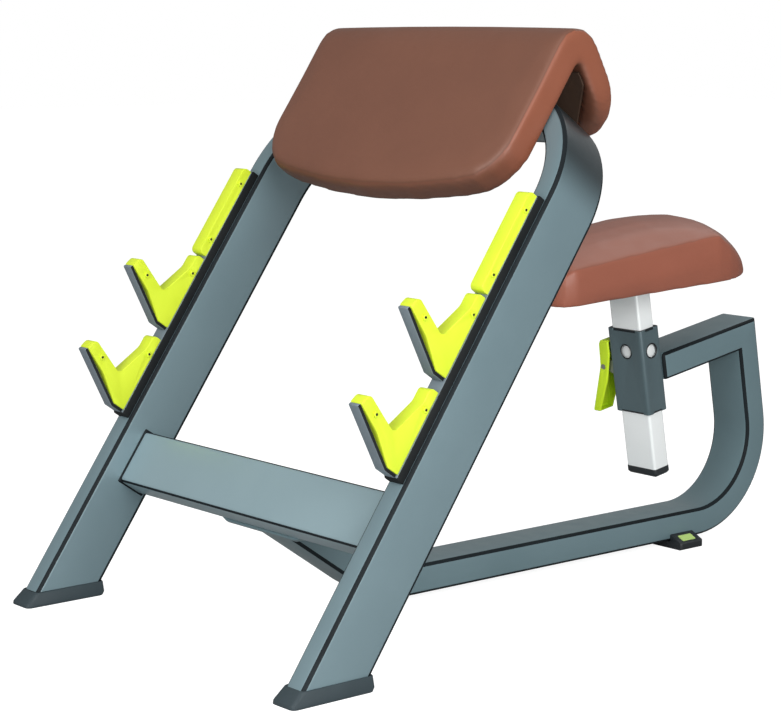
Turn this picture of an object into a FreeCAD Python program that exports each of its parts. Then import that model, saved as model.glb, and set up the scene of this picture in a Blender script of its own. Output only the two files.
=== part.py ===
import FreeCAD, Part
import math
import os

# Preacher curl bench, in millimetres, +Z up.
# The origin is on the floor under the middle of the bench.
# X runs across it, -Y is the front with the bar racks, +Y is the rear with the seat.

Vector = FreeCAD.Vector
x_axis = Vector(1, 0, 0)
y_axis = Vector(0, 1, 0)
z_axis = Vector(0, 0, 1)

# Overall layout
overall_length = 1410.0
overall_width = 782.8  # over the shoes
leg_angle = 55.12  # slope of the front arch above the floor, degrees
seat_tilt = 10.0  # lean of the seat column towards the front, degrees
fit_gap = 0.3  # clearance of parts that are pushed or slid together
bolt_head_width = 1.84  # across corners, in bolt diameters
bolt_head_height = 0.65
corner_strips = 3  # flat strips that turn the corner of a bent tube
small_round_sides = 10  # flats of pins, bolts and their holes

# Front arch, a rectangular tube bent to an inverted U
leg_width = 42.0
leg_depth = 106.0
leg_corner = 8.0
leg_wall = 3.0
leg_straight = 868.0  # length of the front edge from the floor to the bend
bow_radius = 168.0  # bend radius at the centre line

# Shoes on the leg ends
shoe_front = 6.0  # how far the shoe stands ahead of the leg on the floor
shoe_back = 12.0  # and behind the end of the leg
shoe_flare = 6.0  # side margin on the floor
shoe_lip = 3.0  # margin round the leg at the top
shoe_height = 24.0
shoe_sole = 6.0
shoe_corner = 9.0
shoe_toe = 1.0  # how far the front leans back over the lower rim

# Crossbar between the legs
crossbar_centre = 312.75  # along the leg
crossbar_height = 97.5
crossbar_depth = 52.5
crossbar_setback = 40.0  # behind the front face of the legs
crossbar_corner = 8.0
crossbar_wall = 3.0

# Bolted flange on the crossbar
flange_width = 230.0
flange_height = 103.0
flange_thickness = 8.0
flange_chamfer_width = 24.0
flange_chamfer_height = 8.0
flange_bolt_x = 80.0
flange_bolt_pitch = 56.0
flange_bolt_diameter = 10.0

# Rear frame tube
spine_width = 90.0
spine_height = 52.0
spine_corner = 8.0
spine_wall = 3.0
spine_bend_radius = 158.0  # at the centre line
neck_drop = 18.25  # neck centre below the crossbar centre
beam_clearance = 13.0  # underside of the beam above the floor

# Saddle foot under the beam
foot_width = 148.0
foot_length = 60.0
foot_place = 49.0  # middle of the foot ahead of the rear bend
foot_lug_inner = 26.0  # height of the lug beside the beam
foot_lug_outer = 12.0
foot_edge = 3.0
insert_length = 34.0
insert_width = 16.0
insert_thickness = 2.0
insert_sunk = 1.5
insert_corner = 2.0

# Seat column
column_reach = 100.0  # post axis ahead of the rear bend centre
column_rise = 82.0  # sleeve bottom above the rear bend centre
sleeve_width = 84.0
sleeve_depth = 50.0
sleeve_length = 160.0
sleeve_corner = 6.0
sleeve_wall = 3.0
sleeve_tab = 14.0
sleeve_recess = 4.0
sleeve_hole = 29.0
sleeve_hole_height = 118.0
bush_length = 24.0
post_width = 72.0
post_depth = 38.0
post_corner = 5.0
post_wall = 2.5
post_below = 108.0  # post bottom below the sleeve bottom
post_cap_height = 15.0
post_cap_plug = 14.0
post_cap_round = 4.5
post_cap_lip = 1.0

# Height lock: the seat goes down and up from the photographed place in steps
travel_down = 40.0
travel_up = 80.0
lock_pitch = 20.0
lock_height = 118.0  # lock pin above the sleeve bottom
lock_side = -8.5  # lock pin off the middle of the sleeve, towards the front
lock_pin_diameter = 9.0
lock_pin_bite = 4.5  # pin tip inside the face of the post
lock_collar_diameter = 14.0
lock_collar = 2.0
lock_tail_diameter = 5.0
lock_head_diameter = 11.0
lock_head = 2.6
housing_diameter = 20.0
housing_length = 15.0
housing_wall = 2.0
spring_wire = 0.9
spring_turns = 4
spring_sides = 8

# Release lever
lever_depth = 37.0
lever_wall = 3.0
lever_catch = 2.2  # web that pulls the pin head
catch_gap = 1.2  # play between the web and the pin
lever_room = 1.5  # play between the lever and the pin head
lever_round = 5.0
lever_belly = 10.0  # outer face from the pivot
lever_waist = 5.0
pivot_height = 83.0
pivot_standoff = 18.0  # pivot out from the sleeve
pivot_diameter = 6.0
pivot_head_diameter = 10.0
pivot_head = 1.6
lever_top_height = 134.0
lever_tail_height = -8.0
lever_tail_x = 101.0
lever_tail_width = 17.0
cheek_thickness = 4.0
cheek_height = 26.0
cheek_spread = 17.0
cheek_nose = 5.5

# Seat
seat_rise = 3.29  # slope of the seat underside, degrees
seat_height = 240.3  # seat underside above the sleeve bottom, along the post
seat_half_front = 109.0
seat_half_rear = 133.0
seat_front = 262.0  # ahead of the post axis
seat_straight = 105.6  # end of the straight sides, behind the post axis
seat_rear_length = 147.0  # rounded rear end
seat_side_front = 62.0
seat_side_rear = 87.0
seat_crown = 38.0
seat_drawn_in = 3.0
seat_bulge = 5.0
seat_widest = 0.55  # height of the widest place, as a share of the side
seat_front_round = 26.0
seat_wall_end = 0.75  # share of the rear end where its side wall has run out
seat_rear_fall = 240.0  # length over which the top falls to the rear
seat_rear_lip = 0.1  # share of the height left at the rear end
seat_side_steps = 3
seat_crown_steps = 10
seat_rear_places = (0.98, 0.92, 0.83, 0.71, 0.56, 0.39, 0.2, 0.0)  # shares of the rear end
seat_board_thickness = 12.0
seat_board_inset = 16.0
seat_board_tail = 0.6  # how far the board reaches into the rounded rear end
seat_board_taper = 0.75
seat_plate_width = 130.0
seat_plate_length = 200.0
seat_plate_thickness = 6.0
seat_bolt_x = 48.0
seat_bolt_y = 80.0
seat_bolt_diameter = 8.0

# Arm pad, folded over the top of the arch
pad_side_margin = 59.4  # pad end inside the middle of the leg
pad_thickness = 52.0
pad_length = 283.0  # from the inside of the fold to the lower edge, along the leg
pad_low_radius = 1180.0
pad_corner_radius = 91.0
pad_apex_gap = 53.0  # inside of the fold above the bow
pad_apex_round = 48.0
pad_crown = 1.5
pad_edge_round = 5.0
pad_low_round = 18.0
pad_low_chamfer = 5.0
pad_tip_steps = 6
pad_crest_steps = 5
pad_low_steps = 4
flap_angle = 62.0  # slope of the rear flap, degrees
flap_length = 161.0
flap_thickness = 48.0
flap_corner = 98.0
board_thickness = 12.0
board_inset = 16.0
bracket_x = 110.0
bracket_width = 50.0
bracket_length = 132.0
bracket_thickness = 6.0
bracket_web = 34.0
bracket_web_length = 92.0
pad_bolt_pitch = 80.0
pad_bolt_diameter = 8.0

# Bar racks on the front of the legs
rack_margin = 2.0  # spine below the root of the lower arm
rack_end = 3.0  # spine above the guard
rack_width = 32.0
rack_thickness = 16.0
liner_width = 27.0
liner_thickness = 17.0
guard_gap = 6.0  # guard above the upper bar rest
guard_length = 174.0
guard_round = 9.0
hook_upper = 588.0  # notch of the upper hook, along the leg
hook_pitch = 162.5
hook_rear_top = 84.0  # above the notch
hook_rear_straight = 58.0
hook_notch_reach = 42.0  # ahead of the steel spine
hook_notch_radius = 9.0
hook_tip_reach = 120.0
hook_tip_rise = 20.0
hook_tip_lean = 6.0
hook_tip_round = 8.0
hook_notch_sink = 6.0
hook_bottom = 54.0  # below the notch
hook_bottom_reach = 22.0
hook_hollow = 6.0  # hollow of the underside over the steel arm
hook_arm_width = 22.0
hook_arm_thickness = 6.0
hook_screw_rise = 50.6
hook_screw_reach = 88.0
guard_screw_inset = 30.0  # from the ends of the guard
screw_diameter = 6.0
screw_head_diameter = 10.5
screw_head = 2.6

# Places that follow from the sizes above
half_length = overall_length / 2
leg_foot_y = -half_length + shoe_front
leg_centre_x = overall_width / 2 - shoe_flare - leg_width / 2
leg_inner_x = leg_centre_x - leg_width / 2
leg_run = Vector(0, math.cos(math.radians(leg_angle)), math.sin(math.radians(leg_angle)))
leg_normal = Vector(0, -leg_run.z, leg_run.y)
leg_frame = FreeCAD.Placement(Vector(0, leg_foot_y, 0), FreeCAD.Rotation(x_axis, leg_angle))
bend_centre_x = leg_centre_x - bow_radius
bow_centre = leg_straight + bow_radius
bow_underside = bow_centre - leg_width / 2
crossbar_back = crossbar_setback + crossbar_depth
flange_back = crossbar_back + flange_thickness
neck_centre = crossbar_centre - neck_drop
beam_centre_z = beam_clearance + spine_height / 2
bend_centre_z = beam_centre_z + spine_bend_radius
front_bend_y = leg_foot_y + (neck_centre + spine_bend_radius - bend_centre_z * leg_run.z) / leg_run.y
rear_bend_y = half_length - spine_bend_radius - spine_height / 2
front_bend = Vector(0, front_bend_y, bend_centre_z)
rear_bend = Vector(0, rear_bend_y, bend_centre_z)
column_turn = FreeCAD.Rotation(x_axis, seat_tilt)
column_y_axis = column_turn.multVec(y_axis)
column_z_axis = column_turn.multVec(z_axis)
column_base = rear_bend - column_y_axis * column_reach + column_z_axis * column_rise
column_frame = FreeCAD.Placement(column_base, column_turn)
arm_centre_height = sleeve_length / 2
upright_centre = column_reach + spine_bend_radius
seat_origin = column_base + column_z_axis * seat_height
seat_frame = FreeCAD.Placement(seat_origin, FreeCAD.Rotation(x_axis, seat_rise))
pad_half_width = leg_centre_x - pad_side_margin
pad_inner_apex = bow_centre + leg_width / 2 + pad_apex_gap
pad_low = pad_inner_apex - pad_length
guard_low = hook_upper + hook_rear_top + guard_gap
guard_high = guard_low + guard_length
rack_high = guard_high + rack_end
sleeve_face = -sleeve_width / 2
pivot_x = sleeve_face - pivot_standoff


# Shared building blocks

def in_frame(shape, frame):
    moved = shape.copy()
    moved.Placement = frame.multiply(moved.Placement)
    return moved


def oriented(shape, origin, along, across):
    # A shape drawn on XY and raised along Z: its Z turns to along, its X to across.
    rotation = FreeCAD.Rotation(across, along.cross(across), along, "ZXY")
    shape.Placement = FreeCAD.Placement(origin, rotation).multiply(shape.Placement)
    return shape


def line(start, end):
    return Part.LineSegment(start, end).toShape()


def arc(start, middle, end):
    return Part.Arc(start, middle, end).toShape()


# Corners of a rectangle as signs of X and Y and the angle where each starts to turn
corner_turns = [(1, 1, 0), (-1, 1, 90), (-1, -1, 180), (1, -1, 270)]


def rounded_rectangle(width, height, radius):
    edges = []
    last = None
    for side_x, side_y, angle in corner_turns:
        centre = Vector(side_x * (width / 2 - radius), side_y * (height / 2 - radius), 0)
        points = []
        for step in (0, 45, 90):
            turn = math.radians(angle + step)
            points.append(centre + Vector(math.cos(turn), math.sin(turn), 0) * radius)
        if last:
            edges.append(line(last, points[0]))
        edges.append(arc(*points))
        last = points[2]
    first = edges[0].Vertexes[0].Point
    edges.append(line(last, first))
    return Part.Wire(edges)


def rounded_bar(width, height, radius, length):
    return Part.Face(rounded_rectangle(width, height, radius)).extrude(Vector(0, 0, length))


def plain_rectangle(width, height):
    points = [Vector(x * width / 2, y * height / 2, 0) for x, y, angle in corner_turns]
    return Part.makePolygon(points + points[:1])


def stripped_rectangle(width, height, radius):
    # A rectangle whose corners turn in flat strips.
    points = []
    for side_x, side_y, angle in corner_turns:
        centre = Vector(side_x * (width / 2 - radius), side_y * (height / 2 - radius), 0)
        for step in range(corner_strips + 1):
            turn = math.radians(angle + 90 * step / corner_strips)
            points.append(centre + Vector(math.cos(turn), math.sin(turn), 0) * radius)
    return Part.makePolygon(points + points[:1])


def bent_tube_face(width, height, radius, wall):
    outer = stripped_rectangle(width, height, radius)
    inner = plain_rectangle(width - 2 * wall, height - 2 * wall)
    return Part.makeFace([outer, inner], "Part::FaceMakerBullseye")


def bent_tube_run(width, height, radius, wall, length):
    return bent_tube_face(width, height, radius, wall).extrude(Vector(0, 0, length))


def tube(width, height, radius, wall, length):
    outer = rounded_rectangle(width, height, radius)
    inner = plain_rectangle(width - 2 * wall, height - 2 * wall)
    return Part.makeFace([outer, inner], "Part::FaceMakerBullseye").extrude(Vector(0, 0, length))


def centred_box(size_x, size_y, size_z, centre):
    corner = centre - Vector(size_x, size_y, size_z) / 2
    return Part.makeBox(size_x, size_y, size_z, corner)


def extruded_outline(edges, direction):
    return Part.Face(Part.Wire(edges)).extrude(direction)


def rounded_polygon(corners, place):
    # Corners are (across, up, radius); place turns a flat pair into a point of the model.
    edges = []
    joints = []
    count = len(corners)
    for index, (across, up, radius) in enumerate(corners):
        corner = Vector(across, up, 0)
        before = Vector(*corners[index - 1][:2], 0) - corner
        after = Vector(*corners[(index + 1) % count][:2], 0) - corner
        before.normalize()
        after.normalize()
        if radius == 0:
            joints.append((corner, corner, corner))
            continue
        half_angle = before.getAngle(after) / 2
        reach = radius / math.tan(half_angle)
        inwards = (before + after).normalize()
        middle = corner + inwards * (radius / math.sin(half_angle) - radius)
        joints.append((corner + before * reach, middle, corner + after * reach))
    for index, (start, middle, end) in enumerate(joints):
        if (end - start).Length > 0:
            edges.append(arc(place(start.x, start.y), place(middle.x, middle.y), place(end.x, end.y)))
        next_start = joints[(index + 1) % count][0]
        edges.append(line(place(end.x, end.y), place(next_start.x, next_start.y)))
    return edges


def below_floor(height):
    size = 2 * overall_length
    return Part.makeBox(size, size, size, Vector(-size / 2, -size / 2, height - size))


def prism(sides, diameter, length, start, along):
    # A bar with flats, from a start point in a direction along or across X.
    across = x_axis if abs(along.x) < 0.5 else y_axis
    corners = []
    for step in range(sides + 1):
        turn = 2 * math.pi * step / sides
        corners.append(Vector(math.cos(turn), math.sin(turn), 0) * (diameter / 2))
    bar = Part.Face(Part.makePolygon(corners)).extrude(z_axis * length)
    return oriented(bar, start, along, across)


def round_bar(diameter, length, start, along):
    return prism(small_round_sides, diameter, length, start, along)


def hex_bolt(diameter, length):
    # The head stands on z = 0 and the shank runs down from it.
    head = prism(6, bolt_head_width * diameter, bolt_head_height * diameter, Vector(), z_axis)
    shank = round_bar(diameter, length, Vector(0, 0, -length), z_axis)
    return head.fuse(shank)


def bolt_hole(diameter, length):
    return round_bar(diameter + 2 * fit_gap, length, Vector(0, 0, -length), z_axis)


def arc_points(start, middle, end, steps):
    return arc(start, middle, end).discretize(steps + 1)


def skin(sections):
    # A closed solid over cross sections with equal numbers of points, in flat triangles.
    faces = [Part.Face(Part.makePolygon(ring + ring[:1])) for ring in (sections[0], sections[-1])]
    count = len(sections[0])
    for first, second in zip(sections, sections[1:]):
        for index in range(count):
            after = (index + 1) % count
            lower = [first[index], first[after], second[after]]
            upper = [first[index], second[after], second[index]]
            for ring in (lower, upper):
                faces.append(Part.Face(Part.makePolygon(ring + ring[:1])))
    solid = Part.makeSolid(Part.Shell(faces))
    if solid.Volume < 0:
        solid.reverse()
    return solid.removeSplitter()


def round_inset(distance, radius):
    # How far a rounded edge draws back at a distance from the end.
    if distance >= radius:
        return 0.0
    return radius - math.sqrt(radius ** 2 - (radius - distance) ** 2)


def save(name, shape):
    shape.exportStep(os.path.join("parts", name + ".step"))


# Front arch

def arch_leg(side):
    start = -leg_depth
    leg = tube(leg_width, leg_depth, leg_corner, leg_wall, leg_straight - start)
    oriented(leg, Vector(side * leg_centre_x, start, -leg_depth / 2), y_axis, x_axis)
    return in_frame(leg, leg_frame).cut(below_floor(shoe_sole))


def top_bow():
    run = bent_tube_run(leg_width, leg_depth, leg_corner, leg_wall, 2 * bend_centre_x)
    oriented(run, Vector(-bend_centre_x, bow_centre, -leg_depth / 2), x_axis, y_axis)
    bends = []
    for side in (1, -1):
        face = bent_tube_face(leg_width, leg_depth, leg_corner, leg_wall)
        oriented(face, Vector(side * leg_centre_x, leg_straight, -leg_depth / 2), y_axis, x_axis)
        centre = Vector(side * bend_centre_x, leg_straight, 0)
        bends.append(face.revolve(centre, z_axis * side, 90))
    bow = run.fuse(bends).removeSplitter()
    return in_frame(bow, leg_frame)


def shoe(side):
    # A flared block that follows the leaning leg, with a pocket for its end.
    front_top = leg_foot_y + (shoe_height * leg_run.y) / leg_run.z - shoe_lip
    cut_back = leg_foot_y + leg_depth / leg_run.z
    back_floor = cut_back + (shoe_sole * leg_run.y) / leg_run.z + shoe_back
    back_top = cut_back + (shoe_height * leg_run.y) / leg_run.z + shoe_lip
    wires = []
    rims = [
        (0.0, -half_length, back_floor, leg_width + 2 * shoe_flare),
        (shoe_height / 4, -half_length + shoe_toe, max(back_floor, back_top), leg_width + 2 * shoe_flare),
        (shoe_height, front_top, max(back_floor, back_top) - shoe_toe, leg_width + 2 * shoe_lip),
    ]
    for height, front, back, width in rims:
        wire = stripped_rectangle(width, back - front, shoe_corner)
        wire.translate(Vector(side * leg_centre_x, (front + back) / 2, height))
        wires.append(wire)
    block = Part.makeLoft(wires, True, True)
    pocket = rounded_bar(leg_width + 2 * fit_gap, leg_depth + 2 * fit_gap, leg_corner + fit_gap, leg_straight)
    oriented(pocket, Vector(side * leg_centre_x, -leg_depth, -leg_depth / 2), y_axis, x_axis)
    pocket = in_frame(pocket, leg_frame).cut(below_floor(shoe_sole))
    return block.cut(pocket)


def flange_bolt_places():
    middle = crossbar_centre
    places = []
    for x in (-flange_bolt_x, flange_bolt_x):
        for offset in (-flange_bolt_pitch / 2, flange_bolt_pitch / 2):
            places.append(Vector(x, middle + offset, -flange_back))
    return places


def flange_bolt_length():
    return flange_thickness + 3 * crossbar_wall


def at_flange_bolts(shape):
    # Bolt heads face the rear, so their shanks run towards the crossbar.
    copies = []
    for place in flange_bolt_places():
        copies.append(oriented(shape.copy(), place, -z_axis, x_axis))
    return copies


def crossbar():
    bar = tube(crossbar_height, crossbar_depth, crossbar_corner, crossbar_wall, 2 * leg_inner_x)
    middle_depth = crossbar_setback + crossbar_depth / 2
    oriented(bar, Vector(-leg_inner_x, crossbar_centre, -middle_depth), x_axis, y_axis)
    holes = at_flange_bolts(bolt_hole(flange_bolt_diameter, flange_bolt_length() + crossbar_wall))
    return in_frame(bar.cut(holes), leg_frame)


def flange_plate():
    half = flange_width / 2
    top = crossbar_centre + flange_height / 2
    bottom = crossbar_centre - flange_height / 2
    outline = [
        Vector(-half, top, 0),
        Vector(-half, bottom + flange_chamfer_height, 0),
        Vector(-half + flange_chamfer_width, bottom, 0),
        Vector(half - flange_chamfer_width, bottom, 0),
        Vector(half, bottom + flange_chamfer_height, 0),
        Vector(half, top, 0),
        Vector(-half, top, 0),
    ]
    plate = Part.Face(Part.makePolygon(outline)).extrude(Vector(0, 0, flange_thickness))
    plate.translate(Vector(0, 0, -flange_back))
    holes = at_flange_bolts(bolt_hole(flange_bolt_diameter, 2 * flange_thickness))
    return in_frame(plate.cut(holes), leg_frame)


def flange_bolts():
    bolts = at_flange_bolts(hex_bolt(flange_bolt_diameter, flange_bolt_length()))
    return in_frame(Part.makeCompound(bolts), leg_frame)


# Rear frame

def beam_neck():
    start = leg_frame.multVec(Vector(0, neck_centre, -flange_back))
    end = front_bend - leg_run * spine_bend_radius
    along = -leg_normal
    neck = bent_tube_run(spine_width, spine_height, spine_corner, spine_wall, (end - start).dot(along))
    oriented(neck, start, along, x_axis)
    face = bent_tube_face(spine_width, spine_height, spine_corner, spine_wall)
    oriented(face, end, along, x_axis)
    bend = face.revolve(front_bend, x_axis, 90 - leg_angle)
    return neck.fuse(bend).removeSplitter()


def base_beam():
    beam = tube(spine_width, spine_height, spine_corner, spine_wall, rear_bend_y - front_bend_y)
    return oriented(beam, Vector(0, front_bend_y, beam_centre_z), y_axis, x_axis)


def mitre_wedge(above):
    # One side of the mitre between the upright and the seat arm, in the column frame.
    inner_y = upright_centre - spine_height / 2
    outer_y = upright_centre + spine_height / 2
    low = arm_centre_height - spine_height / 2
    high = arm_centre_height + spine_height / 2
    margin = spine_height
    corners = [Vector(0, inner_y - margin, low - margin), Vector(0, outer_y + margin, high + margin)]
    if above:
        corners.append(Vector(0, inner_y - margin, high + margin))
    else:
        corners.append(Vector(0, outer_y + margin, low - margin))
    corners.append(corners[0])
    wedge = Part.Face(Part.makePolygon(corners)).extrude(x_axis * (2 * spine_width))
    wedge.translate(x_axis * -spine_width)
    return wedge


def rear_bow():
    start = rear_bend - z_axis * spine_bend_radius
    face = bent_tube_face(spine_width, spine_height, spine_corner, spine_wall)
    oriented(face, start, y_axis, x_axis)
    bend = face.revolve(rear_bend, x_axis, 90 + seat_tilt)
    length = column_rise + arm_centre_height + spine_height / 2
    upright = bent_tube_run(spine_width, spine_height, spine_corner, spine_wall, length)
    oriented(upright, Vector(0, upright_centre, -column_rise), z_axis, x_axis)
    upright = in_frame(upright.cut(mitre_wedge(True)), column_frame)
    return bend.fuse(upright).removeSplitter()


def seat_arm():
    length = upright_centre + spine_height / 2 - sleeve_depth / 2
    arm = tube(spine_width, spine_height, spine_corner, spine_wall, length)
    oriented(arm, Vector(0, sleeve_depth / 2, arm_centre_height), y_axis, x_axis)
    return in_frame(arm.cut(mitre_wedge(False)), column_frame)


def lug_slope():
    # Direction of the sloped lug top, from the beam outwards.
    return Vector(foot_width / 2 - spine_width / 2 - fit_gap, 0, foot_lug_outer - foot_lug_inner)


def insert_place(side):
    # Middle of the sloped lug top and the direction that stands on it.
    slope = lug_slope()
    middle = Vector(spine_width / 2 + fit_gap, rear_bend_y - foot_place, foot_lug_inner) + slope / 2
    along = Vector(side * slope.x, 0, slope.z).normalize()
    up = Vector(-along.z * side, 0, along.x * side)
    return Vector(side * middle.x, middle.y, middle.z), along, up


def rear_foot_insert(side, margin):
    middle, along, up = insert_place(side)
    width = insert_width + 2 * margin
    plate = rounded_bar(width, insert_length + 2 * margin, insert_corner + margin, insert_thickness)
    return oriented(plate, middle - up * insert_sunk, up, along)


def rear_foot():
    half = foot_width / 2
    inner = spine_width / 2 + fit_gap
    corners = [
        Vector(-half + foot_edge, 0, 0),
        Vector(half - foot_edge, 0, 0),
        Vector(half, 0, foot_edge),
        Vector(half, 0, foot_lug_outer),
        Vector(inner, 0, foot_lug_inner),
        Vector(inner, 0, beam_clearance),
        Vector(-inner, 0, beam_clearance),
        Vector(-inner, 0, foot_lug_inner),
        Vector(-half, 0, foot_lug_outer),
        Vector(-half, 0, foot_edge),
        Vector(-half + foot_edge, 0, 0),
    ]
    saddle = Part.Face(Part.makePolygon(corners)).extrude(y_axis * foot_length)
    saddle.translate(y_axis * (rear_bend_y - foot_place - foot_length / 2))
    outer_edges = [edge for edge in saddle.Edges if abs(edge.CenterOfMass.x) > half - 0.1]
    ends = [edge for edge in outer_edges if edge.BoundBox.YLength < 0.1]
    saddle = saddle.makeChamfer(foot_edge, ends)
    return saddle.cut([rear_foot_insert(1, fit_gap / 2), rear_foot_insert(-1, fit_gap / 2)])


def rear_foot_inserts():
    return Part.makeCompound([rear_foot_insert(1, 0.0), rear_foot_insert(-1, 0.0)])


# Seat column, drawn with X across, Y to the rear and Z up the post

def seat_sleeve():
    sleeve = tube(sleeve_width, sleeve_depth, sleeve_corner, sleeve_wall, sleeve_length)
    cuts = []
    for end in (0.0, sleeve_length):
        middle = Vector(0, 0, end)
        cuts.append(centred_box(sleeve_width - 2 * sleeve_tab, 2 * sleeve_depth, 2 * sleeve_recess, middle))
        cuts.append(centred_box(2 * sleeve_width, sleeve_depth - 2 * sleeve_tab, 2 * sleeve_recess, middle))
    hole_centre = Vector(0, 0, sleeve_hole_height)
    cuts.append(Part.makeCylinder(sleeve_hole / 2, sleeve_depth, hole_centre, -y_axis))
    cuts.append(Part.makeCylinder(sleeve_hole / 2, sleeve_width, hole_centre, x_axis))
    cuts.append(lock_cylinder(lock_pin_diameter + 2 * fit_gap, 0.0, sleeve_width))
    return in_frame(sleeve.cut(cuts), column_frame)


def lock_cylinder(diameter, start, length):
    # A cylinder on the lock pin's axis, from X = start outwards.
    return round_bar(diameter, length, Vector(start, lock_side, lock_height), -x_axis)


def sleeve_bush(bottom):
    outer = plain_rectangle(sleeve_width - 2 * sleeve_wall, sleeve_depth - 2 * sleeve_wall)
    inner = rounded_rectangle(post_width + 2 * fit_gap, post_depth + 2 * fit_gap, post_corner + fit_gap)
    ring = Part.makeFace([outer, inner], "Part::FaceMakerBullseye").extrude(z_axis * bush_length)
    ring.translate(z_axis * bottom)
    return in_frame(ring, column_frame)


def lock_hole_heights():
    # Holes of the post that meet the lock pin at each step of the travel.
    steps = int(round((travel_down + travel_up) / lock_pitch))
    return [lock_height + travel_down - index * lock_pitch for index in range(steps + 1)]


def seat_post():
    top = seat_height + post_depth
    post = tube(post_width, post_depth, post_corner, post_wall, top + post_below)
    post.translate(z_axis * -post_below)
    holes = []
    for height in lock_hole_heights():
        start = Vector(-post_width / 2 + 2 * post_wall, lock_side, height)
        holes.append(round_bar(lock_pin_diameter + 4 * fit_gap, 4 * post_wall, start, -x_axis))
    post = in_frame(post.cut(holes), column_frame)
    above = centred_box(4 * post_width, 8 * post_depth, 4 * post_depth, Vector(0, 0, 2 * post_depth))
    above.translate(z_axis * -seat_plate_thickness)
    return post.cut(in_frame(above, seat_frame))


def post_end_cap():
    # A plug head with a sloped rim, slightly proud of the post.
    width = post_width + 2 * post_cap_lip
    depth = post_depth + 2 * post_cap_lip
    outline = stripped_rectangle(width, depth, post_corner + post_cap_lip)
    cap = Part.Face(outline).extrude(z_axis * post_cap_height)
    rim = [edge for edge in cap.Edges if edge.BoundBox.ZMax < 0.001]
    cap = cap.makeChamfer(post_cap_round, rim)
    plug_width = post_width - 2 * post_wall - 2 * fit_gap
    plug_depth = post_depth - 2 * post_wall - 2 * fit_gap
    plug_middle = Vector(0, 0, post_cap_height + post_cap_plug / 2)
    plug = centred_box(plug_width, plug_depth, post_cap_plug, plug_middle)
    cap = cap.fuse(plug)
    cap.translate(z_axis * (-post_below - post_cap_height))
    return in_frame(cap, column_frame)


# Height lock

def lever_span():
    return lock_side - lever_depth / 2, lock_side + lever_depth / 2


def pivot_cylinder(diameter, length, start):
    # A cylinder on the lever's pivot, from Y = start to the rear.
    return Part.makeCylinder(diameter / 2, length, Vector(pivot_x, start, pivot_height), y_axis)


def lock_pin():
    tip = -post_width / 2 + lock_pin_bite
    collar = sleeve_face - fit_gap
    tail_end = pin_head_face()
    pin = lock_cylinder(lock_pin_diameter, tip, tip - collar)
    parts = [
        lock_cylinder(lock_collar_diameter, collar, lock_collar),
        lock_cylinder(lock_tail_diameter, collar, collar - tail_end),
        lock_cylinder(lock_head_diameter, tail_end, lock_head),
    ]
    return in_frame(pin.fuse(parts).removeSplitter(), column_frame)


def housing_end():
    return sleeve_face - housing_length


def lock_housing():
    cup = lock_cylinder(housing_diameter, sleeve_face, housing_length)
    bore = lock_cylinder(lock_collar_diameter + 2 * fit_gap, sleeve_face, housing_length - housing_wall)
    tail = lock_cylinder(lock_tail_diameter + 2 * fit_gap, sleeve_face, 2 * housing_length)
    return in_frame(cup.cut([bore, tail]), column_frame)


def lock_spring():
    # A square wire coil on the pin's tail, between the collar and the housing end.
    start = sleeve_face - fit_gap - lock_collar - spring_wire / 2
    end = housing_end() + housing_wall + spring_wire / 2
    radius = (lock_collar_diameter - spring_wire) / 2 - fit_gap
    steps = spring_turns * spring_sides

    def coil_point(step):
        turn = 2 * math.pi * step / spring_sides
        x = start + (end - start) * step / steps
        return Vector(x, lock_side + radius * math.cos(turn), lock_height + radius * math.sin(turn))

    points = [coil_point(step) for step in range(steps + 1)]
    path = Part.makePolygon(points)
    wire = plain_rectangle(spring_wire, spring_wire)
    oriented(wire, points[0], (points[1] - points[0]).normalize(), x_axis)
    right_corner = 1
    coil = path.makePipeShell([wire], True, False, right_corner)
    return in_frame(coil, column_frame)


def lever_outer_x():
    # Outer face of the lever at the lock pin, with room for the pin's head inside.
    return pin_head_face() - lock_head - lever_room - lever_wall


def pin_head_face():
    return housing_end() - fit_gap - lever_catch - catch_gap


def lever_corners(wall, mouth):
    # Side view: top, outer face, flared tail and the edge towards the sleeve, as X, height and radius.
    outer = lever_outer_x()
    inner = sleeve_face - 3 * fit_gap + mouth
    tail_inner = -lever_tail_x + lever_tail_width + mouth
    return [
        (inner, lever_top_height - wall, 0.0 if mouth else lever_round),
        (outer + lever_round + wall, lever_top_height - wall, lever_round),
        (outer + wall, lock_height + 0.75 * lock_head_diameter, 2 * lever_round),
        (pivot_x - lever_belly + wall, pivot_height, 6 * lever_round),
        (-lever_tail_x + wall, lever_tail_height + wall, lever_round / 2),
        (tail_inner, lever_tail_height + wall, 0.0 if mouth else lever_round / 2),
        (pivot_x + lever_waist + mouth, pivot_height - cheek_height, 3 * lever_round),
        (inner, lock_height - housing_diameter / 2, 0.0),
    ]


def lever_prism(wall, mouth):
    front, back = lever_span()
    outline = rounded_polygon(lever_corners(wall, mouth), lambda x, z: Vector(x, front + wall, z))
    return extruded_outline(outline, y_axis * (back - front - 2 * wall))


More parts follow.
